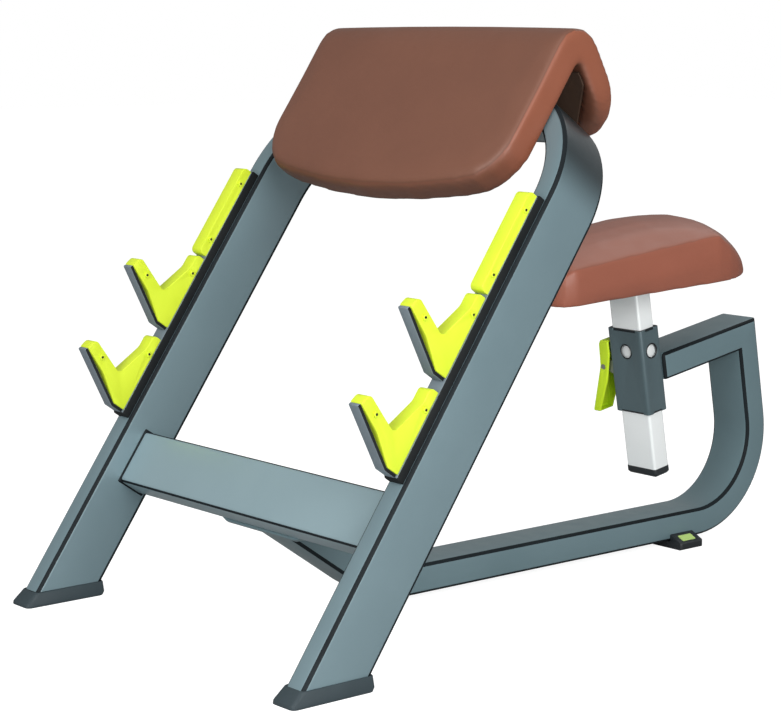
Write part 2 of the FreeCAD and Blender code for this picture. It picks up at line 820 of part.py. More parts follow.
def release_lever():
    front = lever_span()[0]
    shell = lever_prism(0.0, 0.0)
    outer_face = [edge for edge in shell.Edges if edge.BoundBox.YLength < 0.001 and lever_outside(edge)]
    shell = shell.makeChamfer(lever_wall * 0.6, outer_face)
    shell = shell.cut(lever_prism(lever_wall, lever_tail_width + lever_room))
    catch_start = housing_end() - fit_gap
    catch_height = 2 * (lever_top_height - lever_wall - lock_height)
    catch = Part.makeBox(lever_catch, lever_depth - 2 * lever_wall, catch_height)
    catch.translate(Vector(catch_start - lever_catch, front + lever_wall, lock_height - catch_height / 2))
    catch = catch.cut(lock_cylinder(lock_tail_diameter + 2 * catch_gap, 0.0, lever_tail_x))
    lever = shell.fuse(catch).removeSplitter()
    pivot = pivot_cylinder(pivot_diameter + 2 * fit_gap, lever_depth, front)
    return in_frame(lever.cut(pivot), column_frame)


def lever_outside(edge):
    # Edges of the outer face, from the top of the lever to its tail.
    middle = edge.CenterOfMass
    share = (middle.z - lever_tail_height) / (pivot_height - lever_tail_height)
    centre_line = -lever_tail_x + lever_tail_width / 2 + (pivot_x + lever_tail_x) * min(share, 1.0)
    return middle.x < centre_line and middle.z > lever_tail_height + lever_round


def lever_bracket():
    # Two cheeks welded to the sleeve that hold the pivot pin.
    cheeks = []
    for side in (-1, 1):
        inner = lock_side + side * cheek_spread / 2
        front = min(inner, inner + side * cheek_thickness)
        half = cheek_height / 2
        corners = [
            (sleeve_face, pivot_height + half, 0.0),
            (pivot_x - cheek_nose, pivot_height + cheek_nose, cheek_nose * 0.99),
            (pivot_x - cheek_nose, pivot_height - cheek_nose, cheek_nose * 0.99),
            (sleeve_face, pivot_height - half, 0.0),
        ]
        outline = rounded_polygon(corners, lambda x, z: Vector(x, front, z))
        cheeks.append(extruded_outline(outline, y_axis * cheek_thickness))
    hole = pivot_cylinder(pivot_diameter, lever_depth, lever_span()[0])
    return in_frame(Part.makeCompound([cheek.cut(hole) for cheek in cheeks]), column_frame)


def lever_pivot_pin():
    front = lever_span()[0]
    start = Vector(pivot_x, front - fit_gap, pivot_height)
    end = start + y_axis * (lever_depth + 2 * fit_gap)
    pin = pivot_cylinder(pivot_diameter, lever_depth + 2 * fit_gap, front - fit_gap)
    heads = [
        round_bar(pivot_head_diameter, pivot_head, start - y_axis * pivot_head, y_axis),
        round_bar(pivot_head_diameter, pivot_head, end, y_axis),
    ]
    return in_frame(pin.fuse(heads), column_frame)


# Seat

def seat_half(share):
    return seat_half_front + (seat_half_rear - seat_half_front) * share


def bowed_points(start, middle, end, steps):
    points = []
    for step in range(steps + 1):
        t = step / steps
        points.append(start * ((1 - t) * (1 - 2 * t)) + middle * (4 * t * (1 - t)) + end * (t * (2 * t - 1)))
    return points


def seat_section(place):
    # One cross section of the cushion: flat below, bowed sides, crowned top, a dome at the rear.
    share = min(1.0, (place + seat_front) / (seat_front + seat_straight))
    past = max(0.0, place - seat_straight) / seat_rear_length
    nose = round_inset(place + seat_front, seat_front_round)
    half = seat_half(share) * math.sqrt(1 - past ** 2) - 4 * seat_drawn_in * share * (1 - share) - nose
    bulge = seat_bulge * (1 - past)
    side = seat_side_front + (seat_side_rear - seat_side_front) * share
    wall = side * max(seat_rear_lip, 1 - past / seat_wall_end) - nose
    seat_back = seat_straight + seat_rear_length
    fall = round_inset(seat_back - place, seat_rear_fall) / seat_rear_fall
    crown = (side + seat_crown) * (1 - (1 - seat_rear_lip) * fall) - 1.5 * nose - wall
    shoulder = half - bulge / 2
    low_right = Vector(half - bulge, place, 0)
    right = Vector(shoulder, place, wall)
    points = bowed_points(low_right, Vector(half, place, wall * seat_widest), right, seat_side_steps)
    for step in range(1, seat_crown_steps):
        turn = math.pi * step / seat_crown_steps
        rise = (1 - past) * math.sin(turn) ** 2 + past * math.sin(turn)
        points.append(Vector(shoulder * math.cos(turn), place, wall + crown * rise))
    mirrored = [Vector(-point.x, point.y, point.z) for point in points[:seat_side_steps + 1]]
    return points + mirrored[::-1]


def seat_pad():
    places = [seat_straight + seat_rear_length * share for share in seat_rear_places]
    middle_steps = 3
    straight = seat_straight + seat_front - seat_front_round
    for step in range(1, middle_steps + 1):
        places.append(seat_straight - straight * step / middle_steps)
    for turn in (50, 90):
        places.append(-seat_front + seat_front_round * (1 - math.sin(math.radians(turn))))
    cushion = skin([seat_section(place) for place in places])
    recess = seat_board_solid(seat_board_inset - fit_gap, seat_board_thickness + fit_gap)
    return in_frame(cushion.cut(recess), seat_frame)


def seat_board_solid(inset, thickness):
    margin = seat_bulge + seat_drawn_in + inset
    front = -seat_front + inset + seat_front_round
    back = seat_straight + seat_board_tail * seat_rear_length - inset
    right = [
        (seat_half(0) - margin, front, 0),
        (seat_half(1) - margin, seat_straight, 0),
        (seat_half(1) * seat_board_taper - margin, back, 0),
    ]
    corners = right + [(-x, y, radius) for x, y, radius in right[::-1]]
    return extruded_outline(rounded_polygon(corners, lambda x, y: Vector(x, y, 0)), z_axis * thickness)


def at_seat_bolts(shape):
    copies = []
    for x in (-seat_bolt_x, seat_bolt_x):
        for y in (-seat_bolt_y, seat_bolt_y):
            copies.append(oriented(shape.copy(), Vector(x, y, -seat_plate_thickness), -z_axis, x_axis))
    return copies


def seat_bolt_length():
    return seat_plate_thickness + seat_board_thickness * 0.75


def seat_board():
    holes = at_seat_bolts(bolt_hole(seat_bolt_diameter, seat_bolt_length() + fit_gap))
    return in_frame(seat_board_solid(seat_board_inset, seat_board_thickness).cut(holes), seat_frame)


def seat_plate():
    plate = rounded_bar(seat_plate_width, seat_plate_length, 3 * seat_bolt_diameter / 2, seat_plate_thickness)
    plate.translate(z_axis * -seat_plate_thickness)
    holes = at_seat_bolts(bolt_hole(seat_bolt_diameter, 2 * seat_plate_thickness))
    return in_frame(plate.cut(holes), seat_frame)


def seat_bolts():
    bolts = at_seat_bolts(hex_bolt(seat_bolt_diameter, seat_bolt_length()))
    return in_frame(Part.makeCompound(bolts), seat_frame)


# Bar racks, drawn on the leg: X across, Y up the leg, Z out of its front face

def rack_spine(side):
    rack_low = hook_arm_root(hook_upper - hook_pitch).x - rack_margin
    bar = Part.makeBox(rack_width, rack_high - rack_low, rack_thickness)
    outer_edges = [edge for edge in bar.Edges if edge.BoundBox.ZMin > rack_thickness - 0.001]
    ends = [edge for edge in outer_edges if edge.BoundBox.YLength < 0.001]
    bar = bar.makeChamfer(rack_thickness / 4, ends)
    bar.translate(Vector(side * leg_centre_x - rack_width / 2, rack_low, 0))
    return in_frame(bar, leg_frame)


def hook_points(notch):
    # Named corners of a bar rest, as height on the leg, reach from the leg and radius.
    base = rack_thickness
    return {
        "bottom": (notch - hook_bottom, base, 0.0),
        "back_top": (notch + hook_rear_top, base, 0.0),
        "front_top": (notch + hook_rear_top, base + liner_thickness, hook_tip_round),
        "throat": (notch + hook_rear_straight, base + liner_thickness, 3 * hook_notch_radius),
        "notch": (notch - hook_notch_sink, base + hook_notch_reach, hook_notch_radius),
        "tip_top": (notch + hook_tip_rise, base + hook_tip_reach - hook_tip_lean, hook_tip_round),
        "tip": (notch, base + hook_tip_reach, hook_tip_round / 2),
        "hollow": hook_hollow_point(notch),
        "belly": (notch - hook_bottom, base + hook_bottom_reach, hook_notch_radius),
    }


def hook_underside(notch):
    # The straight line under the rest, from its belly to its tip.
    belly = Vector(notch - hook_bottom, rack_thickness + hook_bottom_reach, 0)
    tip = Vector(notch, rack_thickness + hook_tip_reach, 0)
    return belly, tip


def hook_hollow_point(notch):
    belly, tip = hook_underside(notch)
    along = (tip - belly).normalize()
    middle = (belly + tip) / 2 + Vector(along.y, -along.x, 0) * hook_hollow
    return middle.x, middle.y, 6 * hook_notch_radius


def screw_places(notch):
    rear = Vector(notch + hook_screw_rise, rack_thickness + liner_thickness / 2, 0)
    front = Vector(notch, rack_thickness + hook_screw_reach, 0)
    return [rear, front]


def guard_screws():
    reach = rack_thickness + liner_thickness / 2
    heights = (guard_low + guard_screw_inset, guard_high - guard_screw_inset)
    return [Vector(height, reach, 0) for height in heights]


def screw_hole(place, side):
    start = Vector(side * leg_centre_x - liner_width, place.x, place.y)
    return round_bar(screw_diameter + 2 * fit_gap, 2 * liner_width, start, x_axis)


def liner_solid(corners, places, side):
    start = side * leg_centre_x - liner_width / 2
    outline = rounded_polygon(corners, lambda height, reach: Vector(start, height, reach))
    solid = extruded_outline(outline, x_axis * liner_width)
    return in_frame(solid.cut([screw_hole(place, side) for place in places]), leg_frame)


def hook_liner(notch, side):
    return liner_solid(list(hook_points(notch).values()), screw_places(notch), side)


def guard_liner(side):
    base = rack_thickness
    corners = [
        (guard_low, base, 0.0),
        (guard_high, base, 0.0),
        (guard_high, base + liner_thickness, guard_round),
        (guard_low, base + liner_thickness, guard_round),
    ]
    return liner_solid(corners, guard_screws(), side)


def hook_arm_root(notch):
    # Lower corner of the steel arm where it meets the spine.
    return Vector(notch - hook_bottom - hook_arm_thickness, rack_thickness, 0)


def hook_arm(notch, side):
    # A bent flat bar: a short foot on the spine, then straight under the bar rest to its tip.
    belly, tip = hook_underside(notch)
    root = hook_arm_root(notch)
    along = (tip - belly).normalize()
    down = Vector(-along.y, along.x, 0)
    edge = hook_arm_thickness * 0.3
    low_tip = tip + down * hook_arm_thickness
    low_belly = low_tip - along * ((low_tip.x - root.x) / along.x)
    corners = [
        (belly.x, rack_thickness, 0.0),
        (belly.x, belly.y, 0.0),
        (tip.x, tip.y, edge),
        (low_tip.x, low_tip.y, edge),
        (low_belly.x, low_belly.y, 0.0),
        (root.x, root.y, 0.0),
    ]
    start = side * leg_centre_x - hook_arm_width / 2
    outline = rounded_polygon(corners, lambda height, reach: Vector(start, height, reach))
    return in_frame(extruded_outline(outline, x_axis * hook_arm_width), leg_frame)


def rack_screws(side):
    places = guard_screws() + screw_places(hook_upper) + screw_places(hook_upper - hook_pitch)
    bolts = []
    for place in places:
        middle = Vector(side * leg_centre_x, place.x, place.y)
        shank = round_bar(screw_diameter, liner_width, middle - x_axis * (liner_width / 2), x_axis)
        heads = []
        for end in (-1, 1):
            base = middle + x_axis * (end * liner_width / 2)
            heads.append(prism(6, screw_head_diameter, screw_head, base, x_axis * end))
        bolts.append(shank.fuse(heads))
    return in_frame(Part.makeCompound(bolts), leg_frame)


# Arm pad, drawn on the leg: X across, Y up the leg, Z out of its front face

apex_angle = math.radians(180 - leg_angle - flap_angle)
flap_run = Vector(0, -math.cos(apex_angle), -math.sin(apex_angle))
flap_out = Vector(0, math.sin(apex_angle), -math.cos(apex_angle))
inner_apex = Vector(0, pad_inner_apex, 0)
corner_x = pad_half_width - pad_corner_radius


def pad_low_edge(x):
    # Lower edge of the arm pad: a flat arc that turns up at rounded corners.
    reach = min(abs(x), corner_x)
    low = pad_low + reach ** 2 / (2 * pad_low_radius)
    past = max(abs(x) - corner_x, 0.0)
    return low + pad_corner_radius - math.sqrt(pad_corner_radius ** 2 - past ** 2)


def pad_section(x):
    # The folded side view of the pad at a distance from the middle, thinner towards its ends.
    end_distance = pad_half_width - abs(x)
    inset = round_inset(end_distance, pad_edge_round)
    drop = pad_crown * (x / pad_half_width) ** 2 + inset
    arm_out = pad_thickness - drop
    flap_depth = flap_thickness - drop
    low = pad_low_edge(x) + inset
    tip = flap_length - inset - round_inset(end_distance, flap_corner)
    at = Vector(x, 0, 0)
    apex = inner_apex + at
    slide = (arm_out + math.cos(apex_angle) * flap_depth) / math.sin(apex_angle)
    crest = apex + flap_out * flap_depth - flap_run * slide
    crest_round = pad_apex_round - inset
    reach = crest_round / math.tan(apex_angle / 2)
    inwards = (flap_run - y_axis).normalize()
    crest_middle = crest + inwards * (crest_round / math.sin(apex_angle / 2) - crest_round)
    tip_round = flap_depth / 2
    tip_centre = apex + flap_run * (tip - tip_round) + flap_out * tip_round
    tip_inner = tip_centre - flap_out * tip_round
    tip_outer = tip_centre + flap_out * tip_round
    tip_points = arc_points(tip_inner, tip_centre + flap_run * tip_round, tip_outer, pad_tip_steps)
    low_round = min(pad_low_round, arm_out * 0.45)
    low_centre = at + Vector(0, low + low_round, arm_out - low_round)
    low_middle = low_centre + Vector(0, -1, 1) * (low_round * math.sqrt(0.5))
    front = at + Vector(0, low + low_round, arm_out)
    nose = at + Vector(0, low, arm_out - low_round)
    heel = at + Vector(0, low, pad_low_chamfer)
    start = at + Vector(0, low + pad_low_chamfer, 0)
    crest_points = arc_points(crest + flap_run * reach, crest_middle, crest - y_axis * reach, pad_crest_steps)
    low_points = arc_points(front, low_middle, nose, pad_low_steps)
    return [start, apex] + tip_points + crest_points + low_points + [heel]


def pad_stations():
    # Sections from one end to the other, close together where the corners turn.
    half = [0.0, corner_x / 2]
    for turn in (0, 28, 48, 62, 73, 82, 90):
        half.append(corner_x + pad_corner_radius * math.sin(math.radians(turn)))
    return [-x for x in reversed(half[1:])] + half


def arm_board_solid(inset, thickness):
    half = pad_half_width - inset
    radius = pad_corner_radius - inset
    corner_y = pad_low + corner_x ** 2 / (2 * pad_low_radius) + pad_corner_radius
    top = pad_inner_apex - board_inset - inset
    diagonal = radius * math.sqrt(0.5)
    edges = [
        line(Vector(half, corner_y, 0), Vector(half, top, 0)),
        line(Vector(half, top, 0), Vector(-half, top, 0)),
        line(Vector(-half, top, 0), Vector(-half, corner_y, 0)),
        arc(Vector(-half, corner_y, 0), Vector(-corner_x - diagonal, corner_y - diagonal, 0),
            Vector(-corner_x, corner_y - radius, 0)),
        arc(Vector(-corner_x, corner_y - radius, 0), Vector(0, pad_low + inset, 0),
            Vector(corner_x, corner_y - radius, 0)),
        arc(Vector(corner_x, corner_y - radius, 0), Vector(corner_x + diagonal, corner_y - diagonal, 0),
            Vector(half, corner_y, 0)),
    ]
    return extruded_outline(edges, z_axis * thickness)


def chest_board_solid(inset, thickness):
    # Drawn across X and down the flap, narrower towards the flap's rounded corners.
    half = pad_half_width - inset
    shoulder = flap_length - flap_corner - inset
    end = flap_length - flap_thickness / 2 - inset
    right = [(half, board_inset + inset / 2, 0), (half, shoulder, 0), (half - flap_corner / 2, end, 0)]
    corners = right + [(-x, y, radius) for x, y, radius in right[::-1]]
    outline = rounded_polygon(corners, lambda x, y: Vector(x, y, 0))
    return oriented(extruded_outline(outline, z_axis * thickness), inner_apex, flap_out, x_axis)


def arm_pad():
    cushion = skin([pad_section(x) for x in pad_stations()])
    recesses = [
        arm_board_solid(board_inset - fit_gap, board_thickness + fit_gap),
        chest_board_solid(board_inset - fit_gap, board_thickness + fit_gap),
    ]
    return in_frame(cushion.cut(recesses), leg_frame)


def at_pad_bolts(shape):
    copies = []
    for side in (-1, 1):
        for end in (-1, 1):
            x = side * bracket_x + end * bracket_width / 4
            y = bow_underside - bracket_length / 2 + end * pad_bolt_pitch / 2
            copies.append(oriented(shape.copy(), Vector(x, y, -bracket_thickness), -z_axis, x_axis))
    return copies


def pad_bolt_length():
    return bracket_thickness + board_thickness * 0.75


def arm_board():
    holes = at_pad_bolts(bolt_hole(pad_bolt_diameter, pad_bolt_length() + fit_gap))
    return in_frame(arm_board_solid(board_inset, board_thickness).cut(holes), leg_frame)


def chest_board():
    return in_frame(chest_board_solid(board_inset, board_thickness), leg_frame)


def pad_bracket(side):
    # A flat under the board and a gusset welded to the underside of the bow.
    flat = Part.makeBox(bracket_width, bracket_length - leg_wall, bracket_thickness)
    flat_x = side * bracket_x - bracket_width / 2
    flat.translate(Vector(flat_x, bow_underside - bracket_length, -bracket_thickness))
    corners = [
        (bow_underside, -bracket_thickness, 0.0),
        (bow_underside, -bracket_thickness - bracket_web, 0.0),
        (bow_underside - bracket_web / 2, -bracket_thickness - bracket_web, bracket_thickness),
        (bow_underside - bracket_web_length, -bracket_thickness, 0.0),
    ]
    start = side * bracket_x - bracket_thickness / 2
    outline = rounded_polygon(corners, lambda y, z: Vector(start, y, z))
    web = extruded_outline(outline, x_axis * bracket_thickness)
    holes = at_pad_bolts(bolt_hole(pad_bolt_diameter, 2 * bracket_thickness))
    return in_frame(flat.fuse(web).cut(holes), leg_frame)


def pad_bolts():
    bolts = at_pad_bolts(hex_bolt(pad_bolt_diameter, pad_bolt_length()))
    return in_frame(Part.makeCompound(bolts), leg_frame)


os.makedirs("parts", exist_ok=True)

sides = {"left": 1, "right": -1}
for name, side in sides.items():
    save(name + "_leg", arch_leg(side))
    save(name + "_shoe", shoe(side))
    save(name + "_rack_spine", rack_spine(side))
    save(name + "_guard_liner", guard_liner(side))
    save(name + "_upper_hook_liner", hook_liner(hook_upper, side))
    save(name + "_lower_hook_liner", hook_liner(hook_upper - hook_pitch, side))
    save(name + "_upper_hook_arm", hook_arm(hook_upper, side))
    save(name + "_lower_hook_arm", hook_arm(hook_upper - hook_pitch, side))
    save(name + "_rack_screws", rack_screws(side))
    save(name + "_pad_bracket", pad_bracket(side))
save("top_bow", top_bow())
save("crossbar", crossbar())
save("flange_plate", flange_plate())
save("flange_bolts", flange_bolts())
save("beam_neck", beam_neck())
save("base_beam", base_beam())
save("rear_bow", rear_bow())
save("seat_arm", seat_arm())
save("rear_foot", rear_foot())
save("rear_foot_inserts", rear_foot_inserts())
save("seat_sleeve", seat_sleeve())
save("sleeve_bottom_bush", sleeve_bush(0.0))
save("sleeve_top_bush", sleeve_bush(sleeve_length - bush_length))
save("seat_post", seat_post())
save("post_end_cap", post_end_cap())
save("lock_pin", lock_pin())
save("lock_housing", lock_housing())
save("lock_spring", lock_spring())
save("release_lever", release_lever())
save("lever_bracket", lever_bracket())
save("lever_pivot_pin", lever_pivot_pin())
save("arm_pad", arm_pad())
save("arm_board", arm_board())
save("chest_board", chest_board())
save("pad_bolts", pad_bolts())
save("seat_pad", seat_pad())
save("seat_board", seat_board())
save("seat_plate", seat_plate())
save("seat_bolts", seat_bolts())
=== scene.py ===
import math
import bpy
from mathutils import Matrix, Vector


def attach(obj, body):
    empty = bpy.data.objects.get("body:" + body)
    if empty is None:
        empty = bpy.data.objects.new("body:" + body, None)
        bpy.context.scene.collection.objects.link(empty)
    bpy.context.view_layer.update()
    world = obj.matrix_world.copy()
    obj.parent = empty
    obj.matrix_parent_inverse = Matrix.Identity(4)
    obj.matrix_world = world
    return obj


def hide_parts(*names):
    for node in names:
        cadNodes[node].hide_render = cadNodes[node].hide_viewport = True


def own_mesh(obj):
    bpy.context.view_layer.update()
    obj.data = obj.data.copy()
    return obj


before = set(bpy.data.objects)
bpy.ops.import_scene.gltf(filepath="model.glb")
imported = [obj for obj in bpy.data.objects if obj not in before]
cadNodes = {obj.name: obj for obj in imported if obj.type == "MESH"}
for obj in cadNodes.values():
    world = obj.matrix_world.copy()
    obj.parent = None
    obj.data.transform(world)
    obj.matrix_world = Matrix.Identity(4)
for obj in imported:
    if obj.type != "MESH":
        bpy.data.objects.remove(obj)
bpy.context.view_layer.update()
print("frame loaded:", len(cadNodes), "nodes")

# places of the bench, in metres, the same as in the solid model
bench = {"legAngle": 55.12, "legFootY": -0.699, "legX": 0.3644, "columnLean": 10.0,
         "beamZ": 0.039, "bend": 0.158, "rearBendY": 0.521, "columnReach": 0.100, "columnRise": 0.082,
         "seatUp": 0.2403, "seatSlope": 3.29}
sides = {"left": 1, "right": -1}
quarterTurn = math.pi / 2
legTilt = math.radians(bench["legAngle"])
lean = math.radians(bench["columnLean"])
seatTilt = math.radians(bench["seatSlope"])
alongLeg = Vector((0, math.cos(legTilt), math.sin(legTilt)))
awayFromLeg = Vector((0, -math.sin(legTilt), math.cos(legTilt)))
upColumn = Vector((0, -math.sin(lean), math.cos(lean)))
backFromColumn = Vector((0, math.cos(lean), math.sin(lean)))
bendZ = bench["beamZ"] + bench["bend"]
rearBend = Vector((0, bench["rearBendY"], bendZ))
columnFoot = rearBend - backFromColumn * bench["columnReach"] + upColumn * bench["columnRise"]
seatFoot = columnFoot + upColumn * bench["seatUp"]
legPlace = Matrix.Translation((0, bench["legFootY"], 0)) @ Matrix.Rotation(legTilt, 4, "X")
columnPlace = Matrix.Translation(columnFoot) @ Matrix.Rotation(lean, 4, "X")
seatPlace = Matrix.Translation(seatFoot) @ Matrix.Rotation(seatTilt, 4, "X")

# vertices closer than samePoint are one, directions with a dot product above parallel run the same way
samePoint = 0.00002
parallel = 0.99


def pick(piece):
    if bpy.context.object and bpy.context.object.mode != "OBJECT":
        bpy.ops.object.mode_set(mode="OBJECT")
    bpy.ops.object.select_all(action="DESELECT")
    piece.select_set(True)
    bpy.context.view_layer.objects.active = piece


def editAll(piece):
    pick(piece)
    bpy.ops.object.mode_set(mode="EDIT")
    bpy.ops.mesh.select_all(action="SELECT")


def leaveEdit():
    bpy.ops.object.mode_set(mode="OBJECT")


def editNone(piece):
    editAll(piece)
    bpy.ops.mesh.select_all(action="DESELECT")
    leaveEdit()


def bakePlace():
    bpy.ops.object.transform_apply(location=True, rotation=True, scale=True)


def putAt(piece, place):
    pick(piece)
    piece.matrix_world = place @ piece.matrix_world
    bakePlace()


def applyNow(modifier):
    bpy.ops.object.modifier_apply(modifier=modifier.name)


def tidyMesh(piece):
    editAll(piece)
    bpy.ops.mesh.remove_doubles(threshold=samePoint)
    bpy.ops.mesh.normals_make_consistent(inside=False)
    leaveEdit()


def roundEdges(piece, width, segments, angle=40):
    pick(piece)
    edge = piece.modifiers.new("edgeRound", "BEVEL")
    edge.width = width
    edge.segments = segments
    edge.limit_method = "ANGLE"
    edge.angle_limit = math.radians(angle)
    edge.use_clamp_overlap = True
    applyNow(edge)


def smoothFaces(piece, angle=32):
    pick(piece)
    bpy.ops.object.shade_smooth_by_angle(angle=math.radians(angle))


def voxelSkin(piece, size):
    skin = piece.modifiers.new("evenSkin", "REMESH")
    skin.mode = "VOXEL"
    skin.voxel_size = size
    applyNow(skin)


def cutAway(piece, point, normal, keepBelow=True, near=None):
    # near limits the cut to the faces for which it is true
    if near:
        editNone(piece)
        for face in piece.data.polygons:
            face.select = near(face.center)
        bpy.ops.object.mode_set(mode="EDIT")
    else:
        editAll(piece)
    bpy.ops.mesh.bisect(plane_co=point, plane_no=normal, use_fill=True,
                        clear_outer=keepBelow, clear_inner=not keepBelow)
    leaveEdit()


def block(name, size, centre):
    bpy.ops.object.select_all(action="DESELECT")
    bpy.ops.mesh.primitive_cube_add(size=1, location=centre)
    piece = bpy.context.object
    piece.name = name
    piece.scale = size
    bakePlace()
    return piece


def profile(name, width, depth, centre, turn):
    # a flat section, left in edit mode to be pulled along
    bpy.ops.object.select_all(action="DESELECT")
    bpy.ops.mesh.primitive_plane_add(size=1, location=centre, rotation=turn)
    piece = bpy.context.object
    piece.name = name
    piece.scale = (width, depth, 1)
    bakePlace()
    bpy.ops.object.mode_set(mode="EDIT")
    bpy.ops.mesh.select_all(action="SELECT")
    return piece


def pullStraight(offset):
    bpy.ops.mesh.extrude_region_move(TRANSFORM_OT_translate={"value": tuple(offset)})


def pullRound(centre, axis, angle, steps):
    # spin turns the other way, so the angle is negative
    bpy.ops.mesh.spin(steps=steps, angle=-angle, center=tuple(centre), axis=tuple(axis))


def bevelAlong(piece, direction, width, segments):
    # rounds only the edges that run one way
    editNone(piece)
    direction = Vector(direction).normalized()
    for edge in piece.data.edges:
        a, b = (piece.data.vertices[i].co for i in edge.vertices)
        edge.select = abs((b - a).normalized().dot(direction)) > parallel
    bpy.ops.object.mode_set(mode="EDIT")
    bpy.ops.mesh.select_mode(type="EDGE")
    bpy.ops.mesh.bevel(offset=width, segments=segments, affect="EDGES")
    leaveEdit()


def twoTone(piece, main, other, isOther):
    # a second finish on the faces whose normals isOther picks, such as the near-black painted shade on
    # rounded corners
    piece.data.materials.append(main)
    piece.data.materials.append(other)
    for face in piece.data.polygons:
        face.material_index = int(isOther(face.normal))


def within(value, limits):
    return limits[0] < value < limits[1]


def copyOfNode(nodeName, pieceName, flat=0.6):
    # flat is the angle, in degrees, under which neighbouring faces become one
    piece = bpy.data.objects.new(pieceName, cadNodes[nodeName].data.copy())
    bpy.context.scene.collection.objects.link(piece)
    piece.data.materials.clear()
    pick(piece)
    bpy.ops.mesh.customdata_custom_splitnormals_clear()
    editAll(piece)
    bpy.ops.mesh.remove_doubles(threshold=samePoint)
    if flat:
        bpy.ops.mesh.dissolve_limited(angle_limit=math.radians(flat))
    leaveEdit()
    return piece


def setPanelAndShade(piece, values):
    # how far each vertex faces the top, which the two-panel finishes read; on the arm pad it also carries the
    # painted shade of the low front edge, and on the arch tube only the painted shade of the bends
    piece.data.attributes.new("topward", "FLOAT", "POINT").data.foreach_set("value", values)


def fit(piece, body, slotName, material, *nodeNames):
    if not piece.data.materials:
        piece.data.materials.append(material)
    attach(piece, body)
    if nodeNames:
        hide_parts(*nodeNames)


# shader groups that several finishes share
socketKinds = {"vector": "NodeSocketVector", "value": "NodeSocketFloat", "colour": "NodeSocketColor"}


def newGroup(name, inputs, outputs):
    tree = bpy.data.node_groups.new(name, "ShaderNodeTree")
    for way, sockets in (("INPUT", inputs), ("OUTPUT", outputs)):
        for label, kind in sockets.items():
            tree.interface.new_socket(label, in_out=way, socket_type=socketKinds[kind])
    return tree, tree.nodes.new("NodeGroupInput"), tree.nodes.new("NodeGroupOutput")


def setInputs(node, inputs):
    for label, value in inputs.items():
        node.inputs[label].default_value = value


def addNode(tree, kind, inputs=None, **values):
    node = tree.nodes.new(kind)
    for key, value in values.items():
        setattr(node, key, value)
    setInputs(node, inputs or {})
    return node


def wire(tree, *runs):
    for source, output, target, entry in runs:
        tree.links.new(source.outputs[output], target.inputs[entry])


def toneDriftGroup():
    # slow drift between two tones, with small specks
    tree, enter, leave = newGroup(
        "toneDrift", {"Vector": "vector", "Scale": "value", "Speck Scale": "value", "Speck Amount": "value",
                      "First": "colour", "Second": "colour"}, {"Color": "colour"})
    wide = addNode(tree, "ShaderNodeTexNoise", {"Detail": 4})
    fine = addNode(tree, "ShaderNodeTexNoise", {"Detail": 2})
    spread = addNode(tree, "ShaderNodeMapRange", {"From Min": 0.35, "From Max": 0.65})
    centre = addNode(tree, "ShaderNodeMath", {1: 0.5}, operation="SUBTRACT")
    times = addNode(tree, "ShaderNodeMath", operation="MULTIPLY")
    total = addNode(tree, "ShaderNodeMath", operation="ADD", use_clamp=True)
    mix = addNode(tree, "ShaderNodeMix", data_type="RGBA")
    wire(tree,
         (enter, "Vector", wide, "Vector"), (enter, "Scale", wide, "Scale"),
         (enter, "Vector", fine, "Vector"), (enter, "Speck Scale", fine, "Scale"),
         (wide, "Fac", spread, "Value"), (fine, "Fac", centre, 0),
         (centre, 0, times, 0), (enter, "Speck Amount", times, 1),
         (spread, "Result", total, 0), (times, 0, total, 1),
         (total, 0, mix, "Factor"), (enter, "First", mix, "A"), (enter, "Second", mix, "B"),
         (mix, "Result", leave, "Color"))
    return tree


def pebbleGroup():
    # pebbled skin of vinyl and moulded plastic
    tree, enter, leave = newGroup("pebble", {"Vector": "vector", "Scale": "value"}, {"Height": "value"})
    cells = addNode(tree, "ShaderNodeTexVoronoi", feature="SMOOTH_F1")
    noise = addNode(tree, "ShaderNodeTexNoise", {"Detail": 3})
    blend = addNode(tree, "ShaderNodeMath", {1: 0.6}, operation="MULTIPLY_ADD")
    wire(tree,
         (enter, "Vector", cells, "Vector"), (enter, "Scale", cells, "Scale"),
         (enter, "Vector", noise, "Vector"), (enter, "Scale", noise, "Scale"),
         (noise, "Fac", blend, 0), (cells, "Distance", blend, 2),
         (blend, 0, leave, "Height"))
    return tree


def roughSpreadGroup():
    # roughness that wanders between two values
    tree, enter, leave = newGroup(
        "roughSpread", {"Vector": "vector", "Scale": "value", "Low": "value", "High": "value"},
        {"Roughness": "value"})
    noise = addNode(tree, "ShaderNodeTexNoise", {"Detail": 5})
    spread = addNode(tree, "ShaderNodeMapRange", {"From Min": 0.3, "From Max": 0.7})
    wire(tree,
         (enter, "Vector", noise, "Vector"), (enter, "Scale", noise, "Scale"),
         (noise, "Fac", spread, "Value"), (enter, "Low", spread, "To Min"), (enter, "High", spread, "To Max"),
         (spread, "Result", leave, "Roughness"))
    return tree


